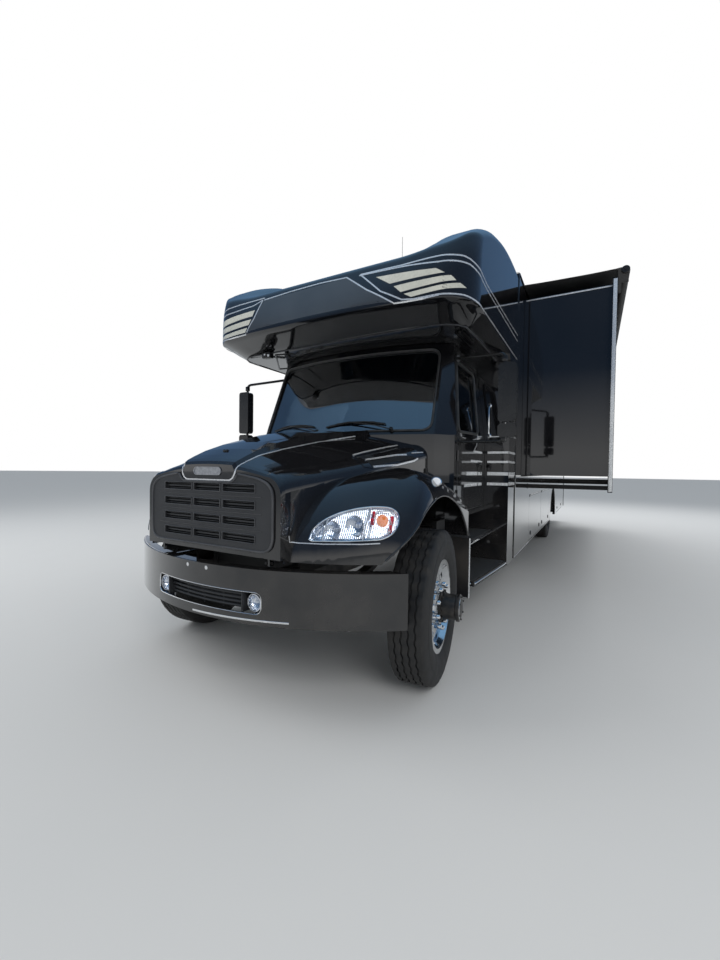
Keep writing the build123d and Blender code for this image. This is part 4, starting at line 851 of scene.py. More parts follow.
# Headlamps: a swept clear polycarbonate cover over a bright moulded reflector with two lamp bowls and an
# amber and red turn section at its outer end, set in a thin chrome bezel.
lamp_outline = eased([(0.655, 1.008), (0.664, 1.063), (0.710, 1.113), (0.779, 1.154), (0.870, 1.181),
                      (0.951, 1.192), (1.035, 1.188), (1.080, 1.152), (1.088, 1.092), (1.069, 1.044),
                      (1.023, 1.014), (0.847, 1.002), (0.675, 0.998)], 0.03, 3)
lamp_middle = Vector((0.90, 1.085))
lamp_skin = skin_of("headlamps")
fallback_y = 0.36
reflector = Finish("lamp_reflector")
flutes = (reflector.place("X") * 620.0).wave()
reflector.surface(base_color=reflector.blend(flutes.fade(-1, 1), (0.86, 0.88, 0.92), (0.66, 0.70, 0.78)),
                  metallic=0.9, roughness=flutes.fade(-1, 1, 0.10, 0.24))
reflector.bump(flutes, 0.0010, 0.45)
amber = mottled("amber_lens", (1.0, 0.28, 0.04), (0.95, 0.20, 0.03), (50.0,), (0.35, 0.65), (0.15, 0.3),
                (70.0,), emission_color=(1.0, 0.25, 0.03), emission_strength=0.25)
red_plastic = mottled("red_reflector", (0.70, 0.03, 0.06), (0.50, 0.02, 0.04), (60.0,), (0.35, 0.65),
                      (0.2, 0.35), (70.0,))


def on_lamp(side, x, z, depth):
    """A point on the cover's outer face, or that far behind it."""
    hit = lamp_skin.ray_cast(Vector((side * x, -1.0, z)), Vector((0, 1, 0)))
    if hit[0] is None:
        hit = lamp_skin.find_nearest(Vector((side * x, fallback_y, z)))
    return hit[0] - Vector((0, -depth, 0))


def lamp_rings(side, shares, depths):
    """The cover's outline drawn toward its middle in steps, each step at a depth behind the face."""
    return [[on_lamp(side, *(lamp_middle + (point - lamp_middle) * share), depth) for point in lamp_outline]
            for share, depth in zip(shares, depths)]


def skinned(shape, rings, capped=True):
    """Faces between rings of as many points, the last one closed by a face."""
    loops = [[shape.verts.new(point) for point in ring] for ring in rings]
    walls(shape, loops)
    if capped:
        shape.faces.new(loops[-1])
    return loops


covers, bowls, ambers, reds, dividers, bezels = (bmesh.new() for each in range(6))
for side in (1, -1):
    shares = (0.985, 0.96, 0.9, 0.8, 0.65, 0.45, 0.25, 0.1)
    outer = skinned(covers, lamp_rings(side, shares, [0.001] * len(shares)))
    inner = skinned(covers, lamp_rings(side, shares, [0.004] * len(shares)))
    walls(covers, [outer[0], inner[0]])
    skinned(bowls, lamp_rings(side, (0.99, 0.95, 0.93, 0.88, 0.6, 0.3),
                              (0.006, 0.008, 0.030, 0.044, 0.052, 0.056)))
    for x, z, radius in ((0.765, 1.062, 0.048), (0.872, 1.085, 0.058)):
        back = on_lamp(side, x, z, 0.050)
        aim = Vector((0, -1, 0))
        lathe(bowls, [(0.002, 0.0), (0.004, radius * 0.3), (0.014, radius * 0.75), (0.026, radius),
                      (0.028, radius), (0.028, radius * 0.94), (0.012, radius * 0.66), (0.006, radius * 0.25),
                      (0.020, radius * 0.2), (0.022, 0.0)], back, aim, 28)
    for x, low_z, high_z in ((0.728, 1.006, 1.116), (0.930, 1.008, 1.182)):
        levels = (low_z, (low_z + high_z) / 2, high_z)
        spots = [on_lamp(side, x + 0.028 * (z - low_z), z, 0.008) for z in levels]
        bar(dividers, spots, 0.0045, 8)
    rim_points = [on_lamp(side, p.x, p.y, 0.012)
                  for p in eased([(0.955, 1.015), (0.965, 1.165), (1.035, 1.165), (1.060, 1.120),
                                  (1.055, 1.060), (1.010, 1.022)], 0.02)]
    bar(dividers, rim_points, 0.004, 8, True)
    back = on_lamp(side, 0.995, 1.112, 0.045)
    lathe(ambers, [(0.0, 0.034), (0.012, 0.034), (0.026, 0.022), (0.030, 0.0)], back, (0, -1, 0), 24)
    for x, low_z, high_z in ((0.958, 1.090, 1.165), (1.050, 1.045, 1.140)):
        for z in (low_z, (low_z + high_z) / 2):
            spot = on_lamp(side, x, z, 0.020)
            rise = (high_z - low_z) / 2
            block(reds, spot - Vector((0.008, 0.006, 0.0)), spot + Vector((0.008, 0.006, rise)), 0.003)
    bar(bezels, [on_lamp(side, p.x, p.y, 0.002) for p in drawn_in(lamp_outline, 0.002)], 0.0042, 8, True)
add_piece("headlamp_covers", covers, "hood", clear_lens, ["headlamps"])
add_piece("headlamp_reflectors", bowls, "hood", reflector)
add_piece("headlamp_turn_bulbs", ambers, "hood", amber)
add_piece("headlamp_red_reflectors", reds, "hood", red_plastic)
add_piece("headlamp_dividers", dividers, "hood", lamp_white)
add_piece("headlamp_bezels", bezels, "hood", chrome)
# Painted highlight: a silver line laid along the fender crease under each headlamp, where the crease's edge
# catches the light.
crease_highlight = bmesh.new()
crease_highlight_route = [(0.576, 0.128, 1.028), (0.578, 0.135, 0.992), (0.610, 0.160, 0.990), (0.75, 0.205, 0.990),
              (0.94, 0.300, 0.993), (1.02, 0.352, 0.998)]
for side in (1, -1):
    stripe(crease_highlight, on_side(side, crease_highlight_route), 0.006, hood_skin, 0.0016, 0.03)
add_piece("headlamp_lower_line", crease_highlight, "hood", silver)

# Over-cab cap: one moulded fibreglass shell, black under clear lacquer, bonded to the coach body and
# standing out over the cab. Its roof dips between two shoulders, and its underside steps in to a flat
# belly panel.
def eased_step(low, high, value):
    share = min(1.0, max(0.0, (value - low) / (high - low)))
    return share * share * (3 - 2 * share)


def curve_through(table, value):
    """A height read off a smooth curve through rows of (place, height)."""
    last = len(table) - 1
    row = min(last - 1, max(0, sum(value > place for place, height in table) - 1))
    (start, low), (end, high) = table[row], table[row + 1]
    slopes = []
    for number in (row, row + 1):
        before, after = table[max(number - 1, 0)], table[min(number + 1, last)]
        slopes.append((after[1] - before[1]) / (after[0] - before[0]) * (end - start))
    t = min(1.0, max(0.0, (value - start) / (end - start)))
    return ((2 * t ** 3 - 3 * t ** 2 + 1) * low + (t ** 3 - 2 * t ** 2 + t) * slopes[0]
            + (3 * t ** 2 - 2 * t ** 3) * high + (t ** 3 - t ** 2) * slopes[1])


cap_half = 1.270
cap_back = 3.090
cap_face_bottom = 2.600
cap_belly = 2.505
cap_corner = 0.230
cap_edge_round = 0.090
cap_roof_steps = 26
cap_turn_steps = 6
cap_face_steps = 14
shoulder_rise = [(1.19, 2.985), (1.35, 3.12), (1.50, 3.215), (1.72, 3.32), (1.90, 3.385), (2.29, 3.485),
                 (2.65, 3.540), (3.09, 3.575)]
dip_rise = [(1.19, 2.985), (1.50, 3.065), (2.00, 3.20), (2.50, 3.36), (2.80, 3.47), (3.09, 3.575)]


def rounded_off(over, radius):
    """How far a quarter round has turned away, so far past its start."""
    return radius - math.sqrt(max(0.0, radius ** 2 - min(over, radius) ** 2)) if over > 0 else 0.0


def cap_roof(x, y):
    reach = eased_step(0.70, 1.04, abs(x))
    z = curve_through(dip_rise, y) * (1 - reach) + curve_through(shoulder_rise, y) * reach
    z += (0.025 - 0.048 * (x / cap_half) ** 2) * eased_step(2.2, cap_back, y)
    return z - rounded_off(abs(x) - cap_half + cap_edge_round, cap_edge_round)


def cap_face(x, z):
    leaned = 1.050 + 0.375 * (z - 2.58)
    bowed = 1.050 + x * x / 10.24
    y = (leaned + bowed + math.hypot(leaned - bowed, 0.05)) / 2 - 0.015
    return y + rounded_off(abs(x) - cap_half + cap_corner, cap_corner)


def cap_under(x, y, face_y):
    belly_y = 1.385 + rounded_off(abs(x) - 0.93, 0.21)
    front = min(1.0, max(0.0, (belly_y - y) / max(0.01, belly_y - face_y)))
    flank = 0.8 * min(1.0, max(0.0, (abs(x) - 1.14) / 0.13)) * (1 - eased_step(2.62, 2.69, y))
    return cap_belly + (cap_face_bottom - cap_belly) * min(1.0, math.hypot(front, flank))


def cap_ring(x):
    """One slice of the cap, from its back edge over the roof, down the face and back along the belly."""
    top = 2.955
    for attempt in range(4):
        front = cap_face(x, top)
        top = cap_roof(x, front + 0.035) - 0.028
    start = front + 0.035
    roof = [cap_back + (start - cap_back) * step / cap_roof_steps for step in range(cap_roof_steps + 1)]
    ring = [(y, cap_roof(x, y)) for y in roof]
    edge = ring[-1]
    low = (cap_face(x, top - 0.030), top - 0.030)
    corner = (front + 0.002, top + 0.010)
    for step in range(1, cap_turn_steps):
        t = step / cap_turn_steps
        ring.append(tuple((1 - t) ** 2 * a + 2 * t * (1 - t) * b + t * t * c
                          for a, b, c in zip(edge, corner, low)))
    bottom = cap_under(x, cap_face(x, cap_face_bottom), cap_face(x, cap_face_bottom))
    for step in range(cap_face_steps + 1):
        z = low[1] + (bottom + 0.012 - low[1]) * step / cap_face_steps
        ring.append((cap_face(x, z), z))
    foot = cap_face(x, bottom)
    ring.append((foot + 0.003, bottom + 0.003))
    belly = [foot + 0.012 + 0.045 * step for step in range(9)]
    for y in belly + [2.0, 2.4, 2.60, 2.64, 2.66, 2.68, 2.70, cap_back]:
        ring.append((y, cap_under(x, y, foot)))
    return [Vector((x, y, z)) for y, z in ring]


cap_stations = [0.12 * step for step in range(6)] + [0.70 + 0.034 * step for step in range(11)]
cap_stations += [cap_half - cap_corner + cap_corner * math.sin(math.radians(angle))
                 for angle in range(8, 91, 6)]
cap_stations += [cap_half]
cap_shell = bmesh.new()
stations = [-x for x in reversed(cap_stations[1:])] + cap_stations
loops = skinned(cap_shell, [cap_ring(x) for x in stations], False)
ends = [cap_shell.faces.new(loops[0]), cap_shell.faces.new(loops[-1])]
bmesh.ops.inset_individual(cap_shell, faces=ends, thickness=0.004)
cap_skin = BVHTree.FromBMesh(cap_shell)
add_piece("cap_shell", cap_shell, "chassis", gloss_black, ["over_cab_cap"], 30)
strip = bmesh.new()
strip.from_mesh(nodes["over_cab_cap"].data)
bmesh.ops.translate(strip, verts=strip.verts[:], vec=-nose)
for cut, away in (((0, 0, cap_belly + 0.004), (0, 0, 1)), ((0, 2.699, 0), (0, -1, 0))):
    everything = strip.verts[:] + strip.edges[:] + strip.faces[:]
    bmesh.ops.bisect_plane(strip, geom=everything, plane_co=cut, plane_no=away, clear_outer=True)
add_piece("cap_strip_behind_cab", strip, "chassis", gloss_black)

# Cap graphics: thin silver lines and cream bars cut from vinyl and laid on under the lacquer, round a bare
# charcoal centre panel. The lettering's place is left bare.
panel_charcoal = mottled("cap_panel_charcoal", (0.040, 0.044, 0.049), (0.052, 0.057, 0.063), (2.5, 3.0),
                         (0.3, 0.7), (0.16, 0.24), (80.0,), coat_weight=0.8, specular_ior_level=0.3)
cream = mottled("cream_vinyl", (0.50, 0.50, 0.44), (0.62, 0.61, 0.53), (6.0, 3.0), (0.3, 0.7), (0.22, 0.34),
                (60.0,), coat_weight=0.5)
flank_top = [(1.208, 1.235, 2.902), (1.238, 1.275, 2.890), (1.262, 1.36, 2.862), (1.270, 1.46, 2.842),
             (1.270, 1.62, 2.828), (1.270, 2.30, 2.843), (1.270, 3.065, 2.866)]
flank_second = [(1.187, 1.215, 2.858), (1.239, 1.276, 2.850), (1.262, 1.36, 2.822), (1.270, 1.46, 2.800),
                (1.270, 1.62, 2.790), (1.270, 2.30, 2.797), (1.270, 3.065, 2.806)]
flank_low = [(1.212, 1.239, 2.626), (1.262, 1.36, 2.608), (1.270, 1.46, 2.602), (1.270, 2.20, 2.605),
             (1.270, 3.065, 2.609)]


cap_lines = [
    [(0.404, 1.173, 2.908), (0.752, 1.170, 2.900), (0.961, 1.173, 2.907), (1.140, 1.185, 2.905)] + flank_top,
    [(0.396, 1.172, 2.900), (0.800, 1.165, 2.884), (1.039, 1.157, 2.862)] + flank_second,
    [(0.404, 1.173, 2.908), (0.613, 1.102, 2.718), (0.783, 1.110, 2.624), (0.867, 1.124, 2.616),
     (1.043, 1.157, 2.627)] + flank_low,
    [(0.279, 1.175, 2.914), (0.490, 1.116, 2.756), (0.725, 1.102, 2.606), (0.812, 1.115, 2.606),
     (0.936, 1.136, 2.612), (1.043, 1.157, 2.622)],
    [(-0.585, 1.167, 2.905), (-0.286, 1.193, 2.915), (0.016, 1.201, 2.918), (0.279, 1.175, 2.914)],
    [(-0.602, 1.172, 2.906), (-0.658, 1.109, 2.739), (-0.747, 1.105, 2.606), (-0.96, 1.14, 2.612),
     (-1.134, 1.182, 2.618)] + on_side(-1, flank_low),
    [(-0.602, 1.172, 2.906), (-0.706, 1.158, 2.872), (-0.93, 1.16, 2.860), (-1.138, 1.184, 2.855)]
    + on_side(-1, flank_second),
    [(-0.585, 1.167, 2.928), (-0.90, 1.17, 2.925), (-1.140, 1.185, 2.912)] + on_side(-1, flank_top),
]
cap_bars = [
    [(0.553, 1.150, 2.848), (1.020, 1.157, 2.815), (1.080, 1.165, 2.776), (0.680, 1.119, 2.765)],
    [(0.715, 1.109, 2.738), (1.124, 1.178, 2.756), (1.160, 1.193, 2.722), (0.772, 1.110, 2.682)],
    [(0.797, 1.113, 2.664), (1.184, 1.212, 2.706), (1.221, 1.251, 2.678), (0.850, 1.119, 2.634)],
    [(-1.120, 1.184, 2.805), (-0.673, 1.137, 2.822), (-0.687, 1.115, 2.768), (-1.130, 1.188, 2.750)],
    [(-1.130, 1.188, 2.728), (-0.696, 1.101, 2.740), (-0.719, 1.10, 2.690), (-1.135, 1.190, 2.682)],
    [(-1.135, 1.190, 2.660), (-0.733, 1.10, 2.666), (-0.758, 1.10, 2.626), (-1.140, 1.190, 2.630)],
]
lines = bmesh.new()
for route in cap_lines:
    stripe(lines, route, 0.011, cap_skin, 0.0014, 0.035)
add_piece("cap_silver_lines", lines, "chassis", silver)
bars = bmesh.new()
for corners in cap_bars:
    patch(bars, corners, cap_skin, 0.0012, 4, 12)
add_piece("cap_cream_bars", bars, "chassis", cream)
panel = bmesh.new()
patch(panel, [(-0.585, 1.167, 2.900), (0.270, 1.177, 2.910), (0.715, 1.102, 2.608), (-0.742, 1.105, 2.608)],
      cap_skin, 0.0007, 14, 26)
add_piece("cap_centre_panel", panel, "chassis", panel_charcoal)
belly_line = bmesh.new()
belly_edge = [(0.0, 1.385), (0.35, 1.385), (0.70, 1.386), (0.93, 1.388), (1.02, 1.41), (1.09, 1.46),
              (1.135, 1.54), (1.142, 1.70), (1.142, 2.10), (1.142, 2.62)]
route = [(-x, y, cap_belly) for x, y in reversed(belly_edge[1:])] + [(x, y, cap_belly) for x, y in belly_edge]
bar(belly_line, route, 0.0055, 6)
add_piece("cap_belly_bead", belly_line, "chassis", grille_lip)

# Under the cap: a camera in a black housing with a small bright lamp, a framed access panel behind it, and on
# the roof a thin whip aerial.
camera_unit = bmesh.new()
block(camera_unit, (-0.775, 1.335, 2.452), (-0.675, 1.395, 2.507), 0.008)
block(camera_unit, (-0.745, 1.322, 2.462), (-0.705, 1.340, 2.494), 0.005)
hatch = [(-0.70, 1.45), (-1.04, 1.90), (-0.76, 1.95), (-0.52, 1.50)]
for first, second in zip(hatch, hatch[1:] + hatch[:1]):
    bar(camera_unit, [(*first, cap_belly), (*second, cap_belly)], 0.008, 8)
add_piece("cap_camera_and_panel_frame", camera_unit, "chassis", mirror_black)
camera_lamp = bmesh.new()
lathe(camera_lamp, [(0.0, 0.013), (0.006, 0.012), (0.009, 0.0)], (-0.692, 1.338, 2.470), (0, -1, 0), 16)
lathe(camera_lamp, [(0.0, 0.009), (0.004, 0.008), (0.006, 0.0)], (-0.725, 1.324, 2.478), (0, -1, 0), 16)
add_piece("cap_camera_lamp", camera_lamp, "chassis", lamp_white)
aerial = bmesh.new()
lathe(aerial, [(-0.01, 0.022), (0.012, 0.022), (0.020, 0.010), (0.050, 0.006), (0.060, 0.0022),
               (0.43, 0.0016), (0.432, 0.0)], (0.381, 2.0, 3.19), (0, 0, 1), 12)
add_piece("roof_aerial", aerial, "chassis", mirror_black)

# Bumper: a swept steel channel, gloss black, with rolled edges top and bottom. A bright rim runs round
# its air opening, a bright lip lies under it, and a round fog lamp stands in each end before black mesh.
bumper_sweep = 1.8158


def from_bumper(a, b, out):
    """Places (across, up, outward) on the bumper's swept face."""
    angle = math.asin(a / bumper_sweep)
    reach = bumper_sweep + out
    return Vector((reach * math.sin(angle), bumper_sweep - reach * math.cos(angle), b))


def across(low, high, steps):
    return [low + (high - low) * step / steps for step in range(steps + 1)]


rolled = bmesh.new()
bar(rolled, [from_bumper(x, 0.831, -0.009) for x in across(-1.156, 1.156, 40)], 0.0085, 10)
bar(rolled, [from_bumper(x, 0.5375, -0.009) for x in across(-1.156, 1.156, 40)], 0.0085, 10)
for side in (1, -1):
    bar(rolled, [from_bumper(side * 1.152, z, -0.009) for z in (0.538, 0.68, 0.831)], 0.008, 10)
add_piece("bumper_rolled_edges", rolled, "chassis", gloss_black)
opening_rim = bmesh.new()
long_inlet = spaced(rectangle(-0.443, 0.587, 0.443, 0.710, 0.043, 6), 0.06)
bar(opening_rim, [from_bumper(p.x, p.y, -0.0047) for p in long_inlet], 0.0045, 8, True)
bar(opening_rim, [from_bumper(x, 0.5480 + 0.010 * (x / 0.6), -0.005) for x in across(-0.05, 0.60, 14)],
    0.0065, 8, flat=1.6)
for x in (-0.098, 0.064):
    spot = from_bumper(x, 0.8135, 0.0)
    lathe(opening_rim, [(-0.003, 0.013), (0.0, 0.012), (0.0006, 0.008), (0.001, 0.0)], spot, (0, -1, 0), 16)
add_piece("bumper_bright_rim_and_bolts", opening_rim, "chassis", chrome)
inlet_fill = bmesh.new()
for z in (0.612, 0.636, 0.660, 0.684):
    bar(inlet_fill, [from_bumper(x, z, -0.040) for x in across(-0.318, 0.318, 10)], 0.0050, 8, flat=1.5)
for x in (-0.159, 0.0, 0.159):
    bar(inlet_fill, [from_bumper(x, z, -0.048) for z in (0.592, 0.704)], 0.0050, 8)
for low, high in zip(across(-0.440, 0.440, 12), across(-0.440, 0.440, 12)[1:]):
    corners = [from_bumper(x, z, -0.078)
               for x, z in ((low, 0.588), (high, 0.588), (high, 0.708), (low, 0.708))]
    back = [corner + Vector((0, 0.003, 0)) for corner in corners]
    front_face = [inlet_fill.verts.new(corner) for corner in corners]
    back_face = [inlet_fill.verts.new(corner) for corner in back]
    inlet_fill.faces.new(front_face)
    inlet_fill.faces.new(back_face)
    walls(inlet_fill, [front_face, back_face])
for x in (-0.318, 0.318):
    face = from_bumper(x, 0.648, -0.006)
    block(inlet_fill, (x - 0.004, face.y, 0.588), (x + 0.004, face.y + 0.07, 0.708), 0.001)
add_piece("bumper_inlet_bars_and_mesh", inlet_fill, "chassis", charcoal)
fog_shells, fog_glass = bmesh.new(), bmesh.new()
for side in (1, -1):
    spot = Vector((side * 0.385, 0.0, 0.645))
    lathe(fog_shells, [(-0.122, 0.0), (-0.122, 0.030), (-0.100, 0.046), (-0.066, 0.050), (-0.0625, 0.050),
                       (-0.0625, 0.0445), (-0.072, 0.042), (-0.092, 0.028), (-0.100, 0.012), (-0.100, 0.0)],
          spot, (0, -1, 0), 36)
    lathe(fog_shells, [(-0.100, 0.0), (-0.088, 0.008), (-0.080, 0.008), (-0.078, 0.0)], spot, (0, -1, 0), 16)
    lathe(fog_glass, [(-0.072, 0.0), (-0.071, 0.030), (-0.068, 0.0435), (-0.0655, 0.0435), (-0.0645, 0.030),
                      (-0.063, 0.0)], spot, (0, -1, 0), 36)
    block(fog_shells, (side * 0.385 - 0.030, 0.100, 0.553), (side * 0.385 + 0.030, 0.112, 0.815), 0.002)
add_piece("fog_lamp_shells", fog_shells, "chassis", reflector, ["fog_lamps"])
add_piece("fog_lamp_lenses", fog_glass, "chassis", clear_lens)

# Windscreen: one pane bonded in under a black rubber gasket, which is drawn along its edge. Two black wiper
# arms park on its foot.
cab_skin = skin_of("cab_shell", "cab_door_left", "cab_door_right", "windscreen")


def on_screen(x, z, out=0.0):
    """A point over the windscreen or its frame, so far in front of it."""
    hit, normal = cab_skin.ray_cast(Vector((x, 0.0, z)), Vector((0, 1, 0)))[:2]
    return hit - normal * out if normal.y > 0 else hit + normal * out


gasket_rubber = mottled("gasket_rubber", (0.020, 0.021, 0.022), (0.050, 0.050, 0.050), (18.0, 4.0),
                        (0.35, 0.7), (0.32, 0.5), specular_ior_level=0.6)
gasket_rubber.bump(gasket_rubber.noise(260.0), 0.0003, 0.3)
screen_corners = [(-0.872, 1.722), (0.872, 1.722), (0.842, 2.446), (-0.842, 2.446)]
screen_edge = spaced(eased(screen_corners, 0.085, 6), 0.07)
gaskets = bmesh.new()
bar(gaskets, [on_screen(p.x, p.y, 0.002) for p in screen_edge], 0.013, 10, True, 0.7)
add_piece("windscreen_gasket", gaskets, "chassis", gasket_rubber)
wipers = bmesh.new()
for pivot, reach in (((0.56, 1.725), -0.62), ((-0.14, 1.725), -0.60)):
    heel = on_screen(*pivot, 0.020)
    tip = on_screen(pivot[0] + reach * 0.62, 1.795, 0.030)
    lathe(wipers, [(-0.02, 0.017), (0.012, 0.017), (0.018, 0.010), (0.020, 0.0)], heel, (0, -0.6, 0.8), 16)
    bar(wipers, [heel, heel.lerp(tip, 0.35) + Vector((0, -0.012, 0.012)), tip], 0.0075, 8, flat=0.7)
    blade = [on_screen(pivot[0] + reach * share, 1.765 + 0.036 * math.sin(math.pi * share), 0.012)
             for share in (0.10, 0.25, 0.42, 0.62, 0.82, 1.0)]
    bar(wipers, blade, 0.0055, 8, flat=1.6)
    raised = Vector((0, -0.006, 0.006))
    bar(wipers, [blade[1] + raised, tip, blade[4] + raised], 0.0045, 8)
add_piece("windscreen_wipers", wipers, "chassis", mirror_black)

# Door trim: a rubber frame bonded round each pane, a seal round the door's own edge, and a black paddle
# handle in a shallow surround with the key lock under it.
beside = 2.0


def on_flank(skin, side, y, z, out=0.0):
    """A point on a panel of the vehicle's flank, so far outside it."""
    hit = skin.ray_cast(Vector((side * beside, y, z)), Vector((-side, 0, 0)))[0]
    return hit + Vector((side * out, 0, 0))


pane_edge = eased([(1.752, 1.729), (1.911, 2.353), (2.486, 2.353), (2.426, 1.758)], 0.068, 5)
for hand, side in (("left", 1), ("right", -1)):
    frames, handles = bmesh.new(), bmesh.new()
    bar(frames, [on_flank(cab_skin, side, p.x, p.y, 0.001) for p in pane_edge], 0.0125, 10, True, 1.0)
    seam = [(1.729, 1.052), (1.729, 1.690), (1.910, 2.403), (2.593, 2.403), (2.593, 1.052)]
    bar(frames, [on_flank(cab_skin, side, y, z, -0.003) for y, z in seam], 0.0045, 6, True)
    add_piece(f"door_{hand}_glass_frame", frames, f"cab_door_{hand}", gasket_rubber)
    inner, outer = sorted((side * 1.029, side * 1.046))
    block(handles, (inner, 2.420, 1.440), (outer, 2.555, 1.475), 0.006)
    rim(handles, rectangle(2.405, 1.405, 2.570, 1.490, 0.02), rectangle(2.413, 1.413, 2.562, 1.482, 0.015),
        from_side(side * 1.030, side), -0.001, 0.004)
    lathe(handles, [(-0.001, 0.011), (0.003, 0.011), (0.004, 0.0)], (side * 1.030, 2.535, 1.385),
          (side, 0, 0), 16)
    add_piece(f"door_{hand}_handle", handles, f"cab_door_{hand}", mirror_black)

# Mirrors: chromeless black heads. Each holds a flat glass above and a wide-angle glass below, in a thin
# bezel, facing rearward.
mirror_glass = mottled("mirror_glass", (0.82, 0.84, 0.86), (0.76, 0.78, 0.80), (9.0, 2.0), (0.3, 0.7),
                       (0.01, 0.04), metallic=1.0)
mirror_back_y = 1.810
for hand, side in (("left", 1), ("right", -1)):
    panes, bezel = bmesh.new(), bmesh.new()
    facing_back = lambda a, b, out: Vector((side * a, mirror_back_y + out, b))
    for low, high in ((1.802, 2.238), (1.679, 1.764)):
        edge = rectangle(1.357, low, 1.468, high, 0.022)
        plate(panes, edge, facing_back, -0.001, 0.003, 0.001)
        rim(bezel, drawn_in(edge, -0.009), drawn_in(edge, -0.0005), facing_back, -0.002, 0.006)
    for z in (2.290, 1.655):
        inner, outer = sorted((side * 1.366, side * 1.404))
        block(bezel, (inner, 1.747, z - 0.025), (outer, 1.783, z + 0.025), 0.006)
    add_piece(f"mirror_{hand}_glasses", panes, f"cab_door_{hand}", mirror_glass)
    add_piece(f"mirror_{hand}_bezels", bezel, f"cab_door_{hand}", mirror_black)

# Graphics on the cab's flanks: bright vinyl bars and fine outlines that run over the door's rear edge on
# to the strip behind it, cut at the gap so that the door can open.
white_vinyl = mottled("white_vinyl", (0.80, 0.81, 0.82), (0.70, 0.71, 0.72), (5.0, 3.0), (0.3, 0.7),
                      (0.2, 0.32), (50.0,), metallic=0.2, coat_weight=0.6)
strip_skin = skin_of("over_cab_cap")
door_bars = [
    # front y, rear y, low z, high z
    (2.010, 2.400, 1.360, 1.393), (2.440, 2.589, 1.360, 1.393), (1.945, 2.400, 1.257, 1.285),
    (2.440, 2.589, 1.257, 1.285), (2.150, 2.589, 1.483, 1.504), (2.240, 2.589, 1.576, 1.595),
]
strip_bars = [(2.706, 3.066, 1.360, 1.393), (2.706, 3.066, 1.257, 1.285), (2.706, 3.066, 1.487, 1.508),
              (2.706, 3.066, 1.582, 1.604)]
door_outline = [(2.587, 1.750), (2.430, 1.738), (2.350, 1.640), (2.262, 1.588)]
slant = 0.018
door_x = 1.03
strip_x = 1.27
strip_front_y = 2.70
for hand, side in (("left", 1), ("right", -1)):
    marks, tail = bmesh.new(), bmesh.new()
    door_skin = skin_of(f"cab_door_{hand}")
    for front_y, rear_y, low, high in door_bars:
        corners = [(side * door_x, y, z)
                   for y, z in ((front_y + slant, high), (rear_y, high), (rear_y, low), (front_y, low))]
        patch(marks, corners, door_skin, 0.0012, 2, 8)
    stripe(marks, [(side * door_x, y, z) for y, z in door_outline], 0.010, door_skin, 0.0012, 0.05)
    for front_y, rear_y, low, high in strip_bars:
        corners = [(side * strip_x, y, z)
                   for y, z in ((front_y, high), (rear_y, high), (rear_y, low), (front_y, low))]
        patch(tail, corners, strip_skin, 0.0012, 2, 8)
        corners = [(side * x, strip_front_y, z)
                   for x, z in ((1.060, high), (1.266, high), (1.266, low), (1.060, low))]
        patch(tail, corners, strip_skin, 0.0012, 2, 8)
    rear_line = [(side * strip_x, y, z) for y, z in ((2.706, 1.757), (3.066, 1.765))]
    stripe(tail, rear_line, 0.010, strip_skin, 0.0012, 0.1)
    stripe(tail, [(side * x, strip_front_y, 1.755) for x in (1.060, 1.264)], 0.010, strip_skin, 0.0012, 0.1)
    add_piece(f"door_{hand}_graphics", marks, f"cab_door_{hand}", white_vinyl)
    add_piece(f"strip_{hand}_graphics", tail, "chassis", white_vinyl)

# Steps and rails: chequered treads with bright nosings, a chromed edge round the lower board, grab rails
# on the strip behind the doors, and a stiffening edge on each mud flap.
tread_plate = Finish("tread_plate")
studs = (tread_plate.place("X") * 260.0 + tread_plate.place("Y") * 260.0).wave() \
    * (tread_plate.place("X") * 260.0 - tread_plate.place("Y") * 260.0).wave()
stud_colour = tread_plate.blend(studs.fade(-0.2, 0.6), (0.05, 0.05, 0.05), (0.22, 0.22, 0.22))
tread_plate.surface(base_color=stud_colour, metallic=0.6, roughness=studs.fade(-1, 1, 0.6, 0.35))
tread_plate.bump(studs.fade(0.1, 0.5), 0.002, 0.8)
treads, chromed, flaps = bmesh.new(), bmesh.new(), bmesh.new()
for side in (1, -1):
    board = [(0.835, 1.740), (1.172, 1.740), (1.245, 2.600), (1.245, 2.680), (0.835, 2.680)]
    plate(treads, [(side * x, y) for x, y in board], on_level(0.497), -0.001, 0.004)
    upper = [(0.866, 1.740), (1.108, 1.740), (1.108, 2.680), (0.866, 2.680)]
    plate(treads, [(side * x, y) for x, y in upper], on_level(0.800), -0.001, 0.004)
    edge = [(1.150, 1.733, 0.476), (1.186, 1.760, 0.476), (1.208, 2.020, 0.476), (1.235, 2.330, 0.476),
            (1.259, 2.600, 0.476), (1.260, 2.686, 0.476)]
    bar(chromed, on_side(side, edge), 0.0095, 10)
    bar(chromed, [(side * 1.120, y, 0.785) for y in (1.735, 2.20, 2.686)], 0.0110, 10)
    bar(chromed, [(side * 1.266, 2.706, z) for z in (0.455, 0.85, 1.235)], 0.0050, 8)
    for x, low, high in ((1.072, 1.765, 2.075), (1.232, 1.765, 2.235)):
        bar(chromed, [(side * x, 2.698, low), (side * x, 2.668, low + 0.02), (side * x, 2.662, low + 0.05),
                      (side * x, 2.662, high - 0.05), (side * x, 2.668, high - 0.02),
                      (side * x, 2.698, high)], 0.0110, 10)
        for z in (low, high):
            lathe(chromed, [(-0.001, 0.022), (0.006, 0.022), (0.008, 0.012), (0.010, 0.0)],
                  (side * x, 2.699, z), (0, -1, 0), 20)
    bar(flaps, [(side * 1.160, 1.666, z) for z in (0.374, 0.60, 0.858)], 0.0065, 8)
    bar(flaps, [(side * x, 1.666, 0.376) for x in (0.884, 1.156)], 0.0065, 8)
add_piece("cab_step_treads", treads, "chassis", tread_plate)
add_piece("cab_step_nosings_and_grab_rails", chromed, "chassis", chrome)
